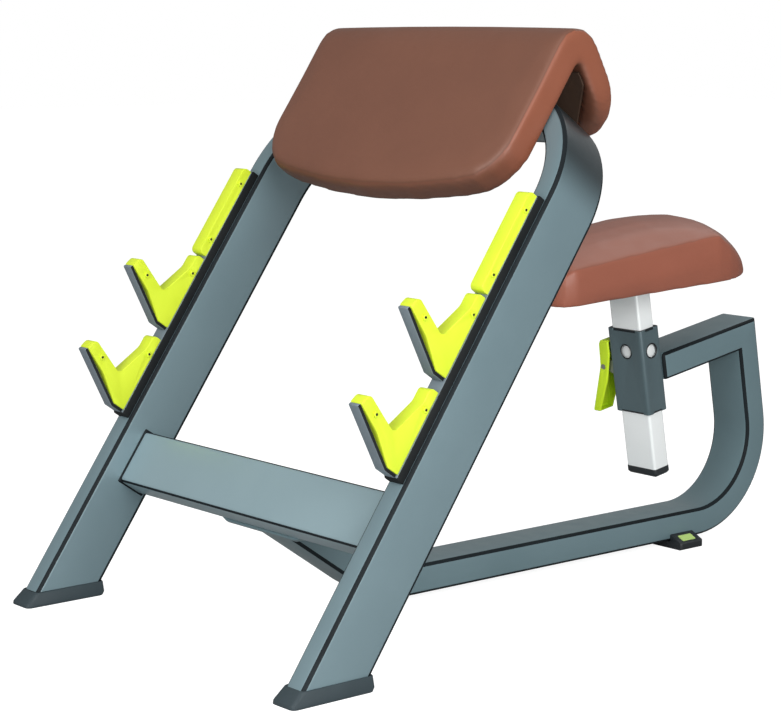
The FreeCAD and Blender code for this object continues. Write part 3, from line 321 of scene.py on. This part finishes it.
def panelsAndShadeGroup():
    # cover sewn from a top panel and a side band, with a dark seam between them; the mix also carries painted
    # shade, and on the arch tube it is only a painted shade gradient
    tree, enter, leave = newGroup(
        "panelsAndShade", {"Topward": "value", "Split": "value", "Seam": "value", "Fade": "value",
                   "Top": "colour", "Band": "colour"}, {"Color": "colour"})
    away = addNode(tree, "ShaderNodeMath", operation="SUBTRACT")
    side = addNode(tree, "ShaderNodeMapRange", interpolation_type="SMOOTHSTEP")
    less = addNode(tree, "ShaderNodeMath", {1: -1}, operation="MULTIPLY")
    both = addNode(tree, "ShaderNodeMix", data_type="RGBA")
    far = addNode(tree, "ShaderNodeMath", operation="ABSOLUTE")
    thread = addNode(tree, "ShaderNodeMapRange", {"From Max": 0.16, "To Max": 1.0},
                     interpolation_type="SMOOTHSTEP")
    sewn = addNode(tree, "ShaderNodeVectorMath", operation="SCALE")
    wire(tree,
         (enter, "Topward", away, 0), (enter, "Split", away, 1), (away, 0, side, "Value"),
         (enter, "Fade", less, 0), (less, 0, side, "From Min"), (enter, "Fade", side, "From Max"),
         (away, 0, far, 0), (far, 0, thread, "Value"), (enter, "Seam", thread, "To Min"),
         (side, "Result", both, "Factor"), (enter, "Band", both, "A"), (enter, "Top", both, "B"),
         (both, "Result", sewn, 0), (thread, "Result", sewn, "Scale"),
         (sewn, 0, leave, "Color"))
    return tree


toneDrift = toneDriftGroup()
panelsAndShade = panelsAndShadeGroup()
pebble = pebbleGroup()
roughSpread = roughSpreadGroup()

# what a finish has unless it says otherwise
plainLook = {"driftScale": 6, "speckScale": 500, "speckAmount": 0.3, "roughScale": 30, "grainScale": 600,
             "grainStrength": 0.1, "grainDepth": 0.0003, "stretch": (1, 1, 1), "metallic": 0, "coat": 0,
             "coatRough": 0.2, "specular": 0.5, "fade": 0.08, "bandSpread": 1.12}


def makeFinish(name, ownLook):
    look = {**plainLook, **ownLook}
    material = bpy.data.materials.new(name)
    material.use_nodes = True
    tree = material.node_tree
    skin = tree.nodes["Principled BSDF"]
    setInputs(skin, {"Metallic": look["metallic"], "Coat Weight": look["coat"],
                     "Coat Roughness": look["coatRough"], "Specular IOR Level": look["specular"]})
    coord = addNode(tree, "ShaderNodeTexCoord")
    place = addNode(tree, "ShaderNodeMapping", {"Scale": look["stretch"]})
    drift = {"Scale": look["driftScale"], "Speck Scale": look["speckScale"],
             "Speck Amount": look["speckAmount"]}
    tone = addNode(tree, "ShaderNodeGroup", node_tree=toneDrift)
    setInputs(tone, {**drift, "First": (*look["first"], 1), "Second": (*look["second"], 1)})
    rough = addNode(tree, "ShaderNodeGroup", node_tree=roughSpread)
    setInputs(rough, {"Scale": look["roughScale"], "Low": look["rough"][0], "High": look["rough"][1]})
    grain = addNode(tree, "ShaderNodeGroup", {"Scale": look["grainScale"]}, node_tree=pebble)
    bump = addNode(tree, "ShaderNodeBump")
    setInputs(bump, {"Strength": look["grainStrength"], "Distance": look["grainDepth"]})
    wire(tree,
         (coord, "Object", place, "Vector"), (place, "Vector", tone, "Vector"),
         (place, "Vector", rough, "Vector"), (place, "Vector", grain, "Vector"),
         (rough, "Roughness", skin, "Roughness"),
         (grain, "Height", bump, "Height"), (bump, "Normal", skin, "Normal"))
    if "band" not in look:
        wire(tree, (tone, "Color", skin, "Base Color"))
        return material
    topward = addNode(tree, "ShaderNodeAttribute", attribute_name="topward")
    bandTone = addNode(tree, "ShaderNodeGroup", node_tree=toneDrift)
    lighter = [look["bandSpread"] * part for part in look["band"]]
    setInputs(bandTone, {**drift, "First": (*look["band"], 1), "Second": (*lighter, 1)})
    cover = addNode(tree, "ShaderNodeGroup", node_tree=panelsAndShade)
    setInputs(cover, {"Split": look["split"], "Seam": look["seam"], "Fade": look["fade"]})
    wire(tree,
         (place, "Vector", bandTone, "Vector"), (topward, "Fac", cover, "Topward"),
         (tone, "Color", cover, "Top"), (bandTone, "Color", cover, "Band"),
         (cover, "Color", skin, "Base Color"))
    return material


# values that several finishes start from
satinPaint = {"driftScale": 4, "speckScale": 1500, "speckAmount": 0.8, "rough": (0.34, 0.42),
              "metallic": 0.2, "coat": 0.2, "grainScale": 900, "grainStrength": 0.05}
framePaint = {**satinPaint, "first": (0.146, 0.216, 0.242), "second": (0.164, 0.239, 0.266)}
limePlastic = {"driftScale": 12, "grainScale": 1400, "grainStrength": 0.12}
softVinyl = {"driftScale": 5, "speckScale": 900, "speckAmount": 0.5, "grainScale": 620, "grainStrength": 0.20}
platedSteel = {"driftScale": 40, "speckAmount": 0.5, "grainScale": 1500, "grainStrength": 0.06}

finishes = {
    "paint": framePaint,
    # painted shade: the arch paint darkens to a near-black band where the bends turn along the leg
    "archPaintAndShade": {**framePaint, "band": (0.020, 0.031, 0.036), "split": 0.0, "seam": 1.0, "fade": 1.0},
    # painted shade: a slightly darker copy of the frame paint for the rear frame, the seat arm and the flange
    # plate
    "rearShadedPaint": {**satinPaint, "first": (0.134, 0.208, 0.232), "second": (0.150, 0.228, 0.254)},
    "sleevePaint": {**satinPaint, "first": (0.072, 0.110, 0.124), "second": (0.084, 0.126, 0.140),
                    "driftScale": 6, "speckAmount": 0.7, "rough": (0.34, 0.44)},
    # painted light: a lighter copy of the frame paint for the crossbar, whose front looks brighter under the
    # light
    "barLitPaint": {**satinPaint, "first": (0.243, 0.342, 0.376), "second": (0.264, 0.367, 0.402)},
    # painted shade: near-black finish for the lines along the tubes' rounded corners and for the weld beads,
    # standing in for their dark reflections and shade
    "cornerShadePaint": {"first": (0.006, 0.009, 0.011), "second": (0.010, 0.015, 0.018), "driftScale": 9,
                  "speckScale": 1500, "speckAmount": 0.8, "rough": (0.55, 0.65), "specular": 0.15,
                  "grainScale": 900, "grainStrength": 0.05},
    "rackSteel": {"first": (0.185, 0.232, 0.268), "second": (0.215, 0.265, 0.300), "driftScale": 8,
                  "speckScale": 900, "speckAmount": 0.5, "rough": (0.35, 0.5), "metallic": 0.3,
                  "grainScale": 700, "grainStrength": 0.08},
    "rackShadow": {"first": (0.006, 0.008, 0.009), "second": (0.011, 0.013, 0.014), "rough": (0.6, 0.75),
                   "specular": 0.2, "speckAmount": 0.5, "grainScale": 500, "grainStrength": 0.15},
    "lime": {**limePlastic, "first": (0.62, 0.77, 0.027), "second": (0.66, 0.80, 0.033),
             "rough": (0.38, 0.5)},
    "leverLime": {**limePlastic, "first": (0.50, 0.72, 0.012), "second": (0.55, 0.77, 0.018),
                  "rough": (0.36, 0.48)},
    # painted reflection: the post is a near-white, mostly diffuse finish that stands in for the chrome's
    # reflection of the white studio
    "chrome": {"first": (0.93, 0.97, 0.97), "second": (0.96, 0.99, 0.99), "driftScale": 5,
               "rough": (0.16, 0.26), "metallic": 0.15, "coat": 0.6, "stretch": (1, 1, 0.06),
               "grainScale": 900, "grainStrength": 0.03},
    # arm pad vinyl: the top panel darker than the band, partly a two-tone cover and partly painted shade on
    # the top
    "vinyl": {**softVinyl, "first": (0.148, 0.058, 0.034), "second": (0.164, 0.065, 0.038),
              "band": (0.250, 0.077, 0.039), "split": 0.70, "seam": 0.7, "rough": (0.46, 0.56)},
    # seat vinyl: the top paler and greyer than the band, partly a two-tone cover and partly a painted sheen
    # on the top
    "seatVinyl": {**softVinyl, "first": (0.280, 0.112, 0.078), "second": (0.302, 0.122, 0.086),
                  "band": (0.268, 0.084, 0.050), "split": 0.62, "seam": 0.85, "rough": (0.42, 0.52)},
    # board cover: a dark brown backing, partly its own colour and partly painted shade of the pad's recess
    "board": {"first": (0.060, 0.034, 0.022), "second": (0.090, 0.052, 0.034), "driftScale": 14,
              "stretch": (1, 0.08, 0.08), "rough": (0.55, 0.7), "speckScale": 900, "speckAmount": 0.6,
              "grainScale": 300, "grainStrength": 0.2},
    "rubber": {"first": (0.020, 0.034, 0.041), "second": (0.027, 0.043, 0.051), "driftScale": 10,
               "rough": (0.5, 0.65), "speckAmount": 0.5, "grainScale": 900, "grainStrength": 0.25},
    "blackPlastic": {"first": (0.010, 0.013, 0.015), "second": (0.015, 0.019, 0.022), "driftScale": 10,
                     "rough": (0.35, 0.5), "speckAmount": 0.4, "grainScale": 1200, "grainStrength": 0.15},
    "palePlastic": {"first": (0.42, 0.62, 0.16), "second": (0.48, 0.68, 0.20), "rough": (0.4, 0.55),
                    "grainScale": 900},
    "zinc": {**platedSteel, "first": (0.36, 0.37, 0.38), "second": (0.46, 0.47, 0.48),
             "rough": (0.3, 0.45), "metallic": 0.9},
    "blackScrew": {**platedSteel, "first": (0.016, 0.019, 0.022), "second": (0.028, 0.032, 0.036),
                   "rough": (0.35, 0.5), "metallic": 0.5},
}
finish = {name: makeFinish(name, look) for name, look in finishes.items()}
print("finishes made:", len(finish))

# carried-over nodes get a finish by their slot
slotFinish = {"frame_paint": "paint", "rack_steel": "rackSteel", "lime_plastic": "lime",
              "post_chrome": "chrome", "upholstery": "vinyl", "plywood": "board", "dark_rubber": "rubber",
              "black_plastic": "blackPlastic", "pale_plastic": "palePlastic", "bolt_steel": "zinc"}
for node in cadNodes.values():
    for nodeSlot in node.material_slots:
        nodeSlot.material = finish[slotFinish[nodeSlot.material.name.split(".")[0]]]

# front arch, one tube bent over the top, with painted shade lines along its corners and painted shade in its
# bends
arch = {"width": 0.042, "depth": 0.106, "corner": 0.008, "cornerSteps": 5, "straight": 0.868, "bend": 0.168,
        "below": 0.06, "floorGap": 0.006, "steps": 24, "shade": 4.2,
        "rearShadeLine": (-0.93, -0.10), "frontShadeLine": (0.25, 0.93)}
bendX = bench["legX"] - arch["bend"]
midDepth = -arch["depth"] / 2
archTube = profile("archTube", arch["width"], arch["depth"],
                   (bench["legX"], -arch["below"], midDepth), (-quarterTurn, 0, 0))
pullStraight((0, arch["straight"] + arch["below"], 0))
pullRound((bendX, arch["straight"], midDepth), (0, 0, 1), quarterTurn, arch["steps"])
pullStraight((-2 * bendX, 0, 0))
pullRound((-bendX, arch["straight"], midDepth), (0, 0, 1), quarterTurn, arch["steps"])
pullStraight((0, -arch["straight"] - arch["below"], 0))
leaveEdit()
tidyMesh(archTube)
roundEdges(archTube, arch["corner"], arch["cornerSteps"])
putAt(archTube, legPlace)
cutAway(archTube, (0, 0, arch["floorGap"]), (0, 0, 1), keepBelow=False)
smoothFaces(archTube)
twoTone(archTube, finish["archPaintAndShade"], finish["cornerShadePaint"],
        lambda n: any(within(n.dot(awayFromLeg), arch[line]) for line in ("rearShadeLine", "frontShadeLine")))
# painted shade: the faces of the bends darken the more they turn along the leg
setPanelAndShade(archTube, [1 - arch["shade"] * max(0.0, vertex.normal.dot(alongLeg))
                      for vertex in archTube.data.vertices])
fit(archTube, "frame", "frame_paint", finish["archPaintAndShade"], "left_leg", "right_leg", "top_bow")
print("arch tube made")

# rear frame tube, from the flange back along the floor and up to the seat's arm
rear = {"width": 0.090, "height": 0.052, "corner": 0.008, "cornerSteps": 5, "neckAt": 0.2945,
        "neckBack": 0.1005, "intoFlange": 0.007, "upright": 0.258, "armHeight": 0.080, "pastMitre": 0.04,
        "cutAbove": 0.05, "neckSteps": 12, "steps": 24, "line": (0.35, 0.93)}
neckStart = legPlace @ Vector((0, rear["neckAt"], -rear["neckBack"] + rear["intoFlange"]))
neckBendY = bench["legFootY"] + (rear["neckAt"] + bench["bend"] - bendZ * alongLeg.z) / alongLeg.y
neckBend = Vector((0, neckBendY, bendZ))
neckEnd = neckBend - alongLeg * bench["bend"]
mitrePoint = columnPlace @ Vector((0, rear["upright"], rear["armHeight"]))
mitreNormal = (upColumn - backFromColumn).normalized()
rearTube = profile("rearTube", rear["width"], rear["height"], neckStart, (legTilt - math.pi, 0, 0))
pullStraight(neckEnd - neckStart)
pullRound(neckBend, (1, 0, 0), quarterTurn - legTilt, rear["neckSteps"])
pullStraight((0, bench["rearBendY"] - neckBendY, 0))
pullRound(rearBend, (1, 0, 0), quarterTurn + lean, rear["steps"])
pullStraight(upColumn * (bench["columnRise"] + rear["armHeight"] + rear["pastMitre"]))
leaveEdit()
tidyMesh(rearTube)
roundEdges(rearTube, rear["corner"], rear["cornerSteps"])
cutAway(rearTube, mitrePoint, mitreNormal,
        near=lambda p: p.y > rearBend.y and p.z > rearBend.z + rear["cutAbove"])
smoothFaces(rearTube)
# painted shade: near-black lines on the tube's rounded corners
twoTone(rearTube, finish["rearShadedPaint"], finish["cornerShadePaint"], lambda n: within(abs(n.x), rear["line"]))
fit(rearTube, "frame", "frame_paint", finish["rearShadedPaint"], "beam_neck", "base_beam", "rear_bow")

# arm that carries the seat's sleeve
arm = {"length": 0.285, "start": 0.025}
seatArm = block("seatArm", (rear["width"], arm["length"], rear["height"]),
                (0, arm["start"] + arm["length"] / 2, rear["armHeight"]))
bevelAlong(seatArm, (0, 1, 0), rear["corner"], rear["cornerSteps"])
putAt(seatArm, columnPlace)
cutAway(seatArm, mitrePoint, mitreNormal, keepBelow=False)
smoothFaces(seatArm)
# painted shade: near-black lines on the arm's rounded corners
twoTone(seatArm, finish["rearShadedPaint"], finish["cornerShadePaint"], lambda n: within(abs(n.x), rear["line"]))
fit(seatArm, "frame", "frame_paint", finish["rearShadedPaint"], "seat_arm")
print("rear frame made")

# crossbar between the legs
bar = {"length": 0.6868, "height": 0.0975, "depth": 0.0525, "at": 0.31275, "setback": 0.040,
       "corner": 0.008, "cornerSteps": 5, "line": (0.60, 0.93)}
crossTube = block("crossTube", (bar["length"], bar["height"], bar["depth"]),
                  (0, bar["at"], -bar["setback"] - bar["depth"] / 2))
bevelAlong(crossTube, (1, 0, 0), bar["corner"], bar["cornerSteps"])
putAt(crossTube, legPlace)
smoothFaces(crossTube)
# painted shade: near-black lines on the bar's front rounded corners
twoTone(crossTube, finish["barLitPaint"], finish["cornerShadePaint"],
        lambda n: within(abs(n.dot(alongLeg)), bar["line"]) and n.dot(awayFromLeg) > 0)
fit(crossTube, "frame", "frame_paint", finish["barLitPaint"], "crossbar")

# small rigid pieces: merged copies of the solids with eased edges
easing = {"steps": 3, "angle": 35, "smooth": 30, "squareOn": 0.8}
hookArm = {"body": "frame", "slot": "rack_steel", "finish": "rackSteel", "ease": 0.001}
limeRest = {"body": "frame", "slot": "lime_plastic", "finish": "lime", "ease": 0.0022}
eased = {
    "flange_plate": {"body": "frame", "slot": "frame_paint", "finish": "rearShadedPaint", "ease": 0.0012},
    "rear_foot": {"body": "frame", "slot": "dark_rubber", "finish": "blackPlastic", "ease": 0.002},
    "seat_sleeve": {"body": "frame", "slot": "frame_paint", "finish": "sleevePaint", "ease": 0.0008},
    "release_lever": {"body": "lever", "slot": "lime_plastic", "finish": "leverLime", "ease": 0.0012},
    "seat_post": {"body": "seat", "slot": "post_chrome", "finish": "chrome", "ease": 0.0006},
    "post_end_cap": {"body": "seat", "slot": "black_plastic", "finish": "blackPlastic", "ease": 0.004},
}
for side in sides:
    eased[side + "_rack_spine"] = {"body": "frame", "slot": "rack_steel", "finish": "rackShadow",
                                   "ease": 0.0015}
    eased[side + "_shoe"] = {"body": "frame", "slot": "dark_rubber", "finish": "rubber", "ease": 0.0025}
    eased[side + "_guard_liner"] = limeRest
    for level in ("upper", "lower"):
        eased[side + "_" + level + "_hook_arm"] = hookArm
        eased[side + "_" + level + "_hook_liner"] = limeRest
for nodeName, way in eased.items():
    piece = copyOfNode(nodeName, nodeName + ".eased")
    roundEdges(piece, way["ease"], easing["steps"], easing["angle"])
    smoothFaces(piece, easing["smooth"])
    if nodeName.endswith("rack_spine"):
        twoTone(piece, finish["rackShadow"], finish["rackSteel"],
                lambda n: n.dot(awayFromLeg) > easing["squareOn"])
    if nodeName.endswith("hook_arm"):
        twoTone(piece, finish["rackSteel"], finish["rackShadow"], lambda n: abs(n.x) > easing["squareOn"])
    fit(piece, way["body"], way["slot"], finish[way["finish"]], nodeName)
print("small rigid pieces eased:", len(eased))

# black rings in the sleeve's sight holes, standing in for the shade on the holes' walls as painted shade, one
# in front and one at the side
ring = {"height": 0.118, "frontY": -0.025, "sideX": 0.042, "middle": 0.0131, "thick": 0.0013, "flat": 0.8,
        "proud": 0.0002, "around": 48, "section": 12, "smooth": 60}
sightHoles = {"frontShadeRing": ((0, ring["frontY"], ring["height"]), (quarterTurn, 0, 0), (0, -1, 0)),
              "sideShadeRing": ((ring["sideX"], 0, ring["height"]), (0, quarterTurn, 0), (1, 0, 0))}
for name, (at, turn, out) in sightHoles.items():
    middle = Vector(at) + Vector(out) * (ring["proud"] - ring["thick"] * ring["flat"])
    bpy.ops.object.select_all(action="DESELECT")
    bpy.ops.mesh.primitive_torus_add(
        location=middle, rotation=turn, major_radius=ring["middle"], minor_radius=ring["thick"],
        major_segments=ring["around"], minor_segments=ring["section"])
    piece = bpy.context.object
    piece.name = name
    bakePlace()
    editAll(piece)
    squeeze = [ring["flat"] if part else 1 for part in out]
    bpy.ops.transform.resize(value=squeeze, center_override=middle)
    leaveEdit()
    putAt(piece, columnPlace)
    smoothFaces(piece, ring["smooth"])
    fit(piece, "frame", "black_plastic", finish["blackPlastic"])
print("sight rings made")

# spring of the height lock, a smoothed copy of the solid; the real spring shortens as the pin is pulled
spring = {"travel": 0.0062, "smooth": 40}
lockSpring = copyOfNode("lock_spring", "lockSpring", flat=0)
smoothFaces(lockSpring, spring["smooth"])
fit(lockSpring, "frame", "bolt_steel", finish["zinc"], "lock_spring")
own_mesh(lockSpring)
print("lock spring made")

# screws through the bar rests, with lime heads and a black socket in each
screw = {"rim": 0.0022, "wall": 0.0002, "deep": 0.0012, "ease": 0.0003, "easeSteps": 2, "easeAngle": 50,
         "endZone": 0.0001, "smooth": 30}
for side in sides:
    nodeName = side + "_rack_screws"
    piece = copyOfNode(nodeName, side + "RackScrews")
    roundEdges(piece, screw["ease"], screw["easeSteps"], screw["easeAngle"])
    middle = sum((v.co.x for v in piece.data.vertices), 0.0) / len(piece.data.vertices)
    reach = max(abs(v.co.x - middle) for v in piece.data.vertices)
    editNone(piece)
    for face in piece.data.polygons:
        atEnd = abs(face.center.x - middle) > reach - screw["endZone"]
        face.select = abs(face.normal.x) > parallel and atEnd
    bpy.ops.object.mode_set(mode="EDIT")
    bpy.ops.mesh.select_mode(type="FACE")
    bpy.ops.mesh.inset(thickness=screw["rim"], depth=0, use_individual=True)
    piece.data.materials.append(finish["lime"])
    piece.data.materials.append(finish["blackScrew"])
    piece.active_material_index = 1
    bpy.ops.object.material_slot_assign()
    bpy.ops.mesh.inset(thickness=screw["wall"], depth=-screw["deep"], use_individual=True)
    leaveEdit()
    smoothFaces(piece, screw["smooth"])
    fit(piece, "frame", "bolt_steel", finish["blackScrew"], nodeName)
print("screws made")

# pads: foam under vinyl, swollen by a short cloth run in the pad's own flat frame
foam = {"shrink": 0.0005, "quality": 5, "mass": 0.3, "pressure": 4.0, "tension": 20, "shear": 20 / 3,
        "bending": 2, "frames": 20, "cap": 0.004, "even": 12, "softening": 0.5, "seamWide": 0.2,
        "underside": 0.003}


def runCloth(piece, pad, pinned):
    editAll(piece)
    bpy.ops.transform.shrink_fatten(value=-pad["shrink"])
    leaveEdit()
    group = piece.vertex_groups.new(name="held")
    group.add(pinned, 1.0, "REPLACE")
    cloth = piece.modifiers.new("foam", "CLOTH")
    cloth.settings.quality = pad["quality"]
    cloth.settings.mass = pad["mass"]
    cloth.settings.use_pressure = True
    cloth.settings.uniform_pressure_force = pad["pressure"]
    cloth.settings.tension_stiffness = pad["tension"]
    cloth.settings.compression_stiffness = pad["tension"]
    cloth.settings.shear_stiffness = pad["shear"]
    cloth.settings.bending_stiffness = pad["bending"]
    cloth.settings.effector_weights.gravity = 0
    cloth.settings.vertex_group_mass = group.name
    cloth.point_cache.frame_start = 1
    cloth.point_cache.frame_end = pad["frames"]
    for number in range(1, pad["frames"] + 1):
        bpy.context.scene.frame_set(number)
    pick(piece)
    applyNow(cloth)
    bpy.context.scene.frame_set(1)


def evenOut(amounts, links, passes):
    # each pass takes the mean of a vertex and its neighbours
    for _ in range(passes):
        total, count = amounts[:], [1] * len(amounts)
        for a, b in links:
            total[a] += amounts[b]
            total[b] += amounts[a]
            count[a] += 1
            count[b] += 1
        amounts = [amount / number for amount, number in zip(total, count)]
    return amounts


def keepSwelling(piece, pad, start, outward, pinned):
    # only the swelling along the first normals is kept, so the outline stays clean
    swell = [(vertex.co - first).dot(out)
             for vertex, first, out in zip(piece.data.vertices, start, outward)]
    swell = [min(max(amount, 0.0), pad["cap"]) for amount in swell]
    swell = evenOut(swell, [tuple(edge.vertices) for edge in piece.data.edges], pad["even"])
    for index in pinned:
        swell[index] = 0.0
    for vertex, first, out, amount in zip(piece.data.vertices, start, outward, swell):
        vertex.co = first + out * amount
    piece.vertex_groups.clear()


def swellPad(name, nodeName, pad, place, held, topward, lowEdgeShade=lambda n: 0.0):
    piece = copyOfNode(nodeName, name, flat=0)
    putAt(piece, place.inverted())
    voxelSkin(piece, pad["voxel"])
    soften = piece.modifiers.new("soften", "SMOOTH")
    soften.factor = pad["softening"]
    soften.iterations = pad["soften"]
    applyNow(soften)
    start = [v.co.copy() for v in piece.data.vertices]
    outward = [v.normal.copy() for v in piece.data.vertices]
    pinned = [v.index for v in piece.data.vertices if held(v.co)]
    runCloth(piece, pad, pinned)
    keepSwelling(piece, pad, start, outward, pinned)
    finer = piece.modifiers.new("finer", "SUBSURF")
    finer.levels = finer.render_levels = 1
    applyNow(finer)
    # the seam is a shallow groove where the top panel meets the band
    normals = [vertex.normal.copy() for vertex in piece.data.vertices]
    facing = [topward(normal) for normal in normals]
    # painted shade: faces turned down towards the front take more of the top's darker tone
    setPanelAndShade(piece, [max(value, lowEdgeShade(normal)) for normal, value in zip(normals, facing)])
    for vertex, normal, value in zip(piece.data.vertices, normals, facing):
        pull = max(0.0, 1 - abs(value - pad["split"]) / pad["seamWide"])
        vertex.co -= normal * pad["seamDeep"] * pull
    putAt(piece, place)
    bpy.ops.object.shade_smooth()
    print(name, "swollen:", len(piece.data.polygons), "faces")
    return piece


# arm pad, folded over the arch, its low front edge fading to the top's darker tone as painted shade
armPadLook = {**foam, "voxel": 0.0058, "soften": 4, "split": finishes["vinyl"]["split"], "seamDeep": 0.0008,
              "foldAngle": 62.88, "foldAt": 1.110, "lowShadeTone": 0.595, "lowShadeGain": 0.16}
foldAngle = math.radians(armPadLook["foldAngle"])
flapOut = Vector((0, math.sin(foldAngle), -math.cos(foldAngle)))
foldOut = (Vector((0, 0, 1)) + flapOut).normalized()
foldInside = Vector((0, armPadLook["foldAt"], 0))


def underArmPad(point):
    return max(point.z, (point - foldInside).dot(flapOut)) < armPadLook["underside"]


armPad = swellPad("armPad", "arm_pad", armPadLook, legPlace, underArmPad,
                  lambda n: max(n.z, n.dot(flapOut), n.dot(foldOut)),
                  lambda n: armPadLook["lowShadeTone"] + armPadLook["lowShadeGain"] * max(0.0, -n.y))
fit(armPad, "frame", "upholstery", finish["vinyl"], "arm_pad")

seatPadLook = {**foam, "voxel": 0.005, "soften": 3, "split": finishes["seatVinyl"]["split"],
               "seamDeep": 0.0005}
seatPad = swellPad("seatPad", "seat_pad", seatPadLook, seatPlace,
                   lambda p: p.z < seatPadLook["underside"], lambda n: n.z)
fit(seatPad, "seat", "upholstery", finish["seatVinyl"], "seat_pad")
print("pads made")

# weld beads where the crossbar meets the legs, in the near-black corner finish as painted shade at the joints
weld = {"radius": 0.0030, "pitch": 0.0024, "voxel": 0.0011, "around": 10, "rings": 6}


def weldBead(name, corners, place):
    corners = [Vector(corner) for corner in corners]
    rows = []
    for start, end in zip(corners, corners[1:] + corners[:1]):
        bpy.ops.object.select_all(action="DESELECT")
        bpy.ops.mesh.primitive_uv_sphere_add(segments=weld["around"], ring_count=weld["rings"],
                                             radius=weld["radius"], location=start)
        row = bpy.context.object
        scales = row.modifiers.new("scales", "ARRAY")
        scales.use_relative_offset = False
        scales.use_constant_offset = True
        scales.count = int((end - start).length / weld["pitch"])
        scales.constant_offset_displace = (end - start) / scales.count
        applyNow(scales)
        rows.append(row)
    pick(rows[0])
    for row in rows:
        row.select_set(True)
    bpy.ops.object.join()
    piece = rows[0]
    piece.name = name
    bakePlace()
    voxelSkin(piece, weld["voxel"])
    putAt(piece, place)
    bpy.ops.object.shade_smooth()
    return piece


barLow, barHigh = bar["at"] - bar["height"] / 2, bar["at"] + bar["height"] / 2
barFront, barBack = -bar["setback"], -bar["setback"] - bar["depth"]
for side, sign in sides.items():
    x = sign * bar["length"] / 2
    seam = [(x, barLow, barFront), (x, barHigh, barFront), (x, barHigh, barBack), (x, barLow, barBack)]
    fit(weldBead(side + "CrossWeld", seam, legPlace), "frame", "frame_paint", finish["cornerShadePaint"])
print("welds made")

# studio floor that the camera sees as white, and that lights the bench only a little
studio = {"floorSize": 40, "floorTone": 0.4, "floorRough": 0.8, "floorGlow": 0.90, "skyForCamera": 1.0,
          "skyForLight": 0.33}
white = (1, 1, 1, 1)
bpy.ops.object.select_all(action="DESELECT")
bpy.ops.mesh.primitive_plane_add(size=studio["floorSize"], location=(0, 0, 0))
floor = bpy.context.object
floor.name = "studioFloor"
floorSkin = bpy.data.materials.new("studioFloor")
floorSkin.use_nodes = True
floorTree = floorSkin.node_tree
floorShade = floorTree.nodes["Principled BSDF"]
setInputs(floorShade, {"Base Color": (*[studio["floorTone"]] * 3, 1), "Roughness": studio["floorRough"],
                       "Specular IOR Level": 0.0, "Emission Color": white})
floorPath = addNode(floorTree, "ShaderNodeLightPath")
floorGlow = addNode(floorTree, "ShaderNodeMath", {1: studio["floorGlow"]}, operation="MULTIPLY")
wire(floorTree, (floorPath, "Is Camera Ray", floorGlow, 0), (floorGlow, 0, floorShade, "Emission Strength"))
floor.data.materials.append(floorSkin)

# sky, white to the camera and dimmer as a light
world = bpy.data.worlds.new("studio")
bpy.context.scene.world = world
world.use_nodes = True
skyTree = world.node_tree
sky = skyTree.nodes["Background"]
setInputs(sky, {"Color": white})
skyPath = addNode(skyTree, "ShaderNodeLightPath")
skyLevel = addNode(skyTree, "ShaderNodeMapRange",
                   {"To Min": studio["skyForLight"], "To Max": studio["skyForCamera"]})
wire(skyTree, (skyPath, "Is Camera Ray", skyLevel, "Value"), (skyLevel, "Result", sky, "Strength"))

# soft lights
lights = {"key": {"at": (3.3, -1.3, 1.4), "aim": (0, 0, 0.45), "size": 2.2, "power": 116},
          "front": {"at": (0.6, -3.6, 1.7), "aim": (0, 0, 0.4), "size": 2.0, "power": 72},
          "top": {"at": (0.6, -0.9, 3.4), "aim": (0, 0, 0.4), "size": 2.0, "power": 16},
          "back": {"at": (-0.6, 3.2, 3.4), "aim": (0, 0, 0.4), "size": 2.2, "power": 22}}
for name, light in lights.items():
    lamp = bpy.data.lights.new(name, "AREA")
    lamp.size = light["size"]
    lamp.energy = light["power"]
    holder = bpy.data.objects.new(name, lamp)
    holder.location = light["at"]
    towards = Vector(light["aim"]) - Vector(light["at"])
    holder.rotation_euler = towards.to_track_quat("-Z", "Y").to_euler()
    bpy.context.scene.collection.objects.link(holder)

# camera at the photograph's angle
view = {"at": (2.8186, -2.5496, 0.9629), "down": 0.1492, "turn": 0.8755, "lens": 102.49, "sensor": 36}
camera = bpy.data.cameras.new("photoCamera")
camera.lens = view["lens"]
camera.sensor_width = view["sensor"]
cameraHolder = bpy.data.objects.new("photoCamera", camera)
cameraHolder.location = view["at"]
cameraHolder.rotation_euler = (quarterTurn - view["down"], 0, view["turn"])
bpy.context.scene.collection.objects.link(cameraHolder)
bpy.context.scene.camera = cameraHolder
bpy.context.scene.view_settings.view_transform = "Standard"

print("scene ready")
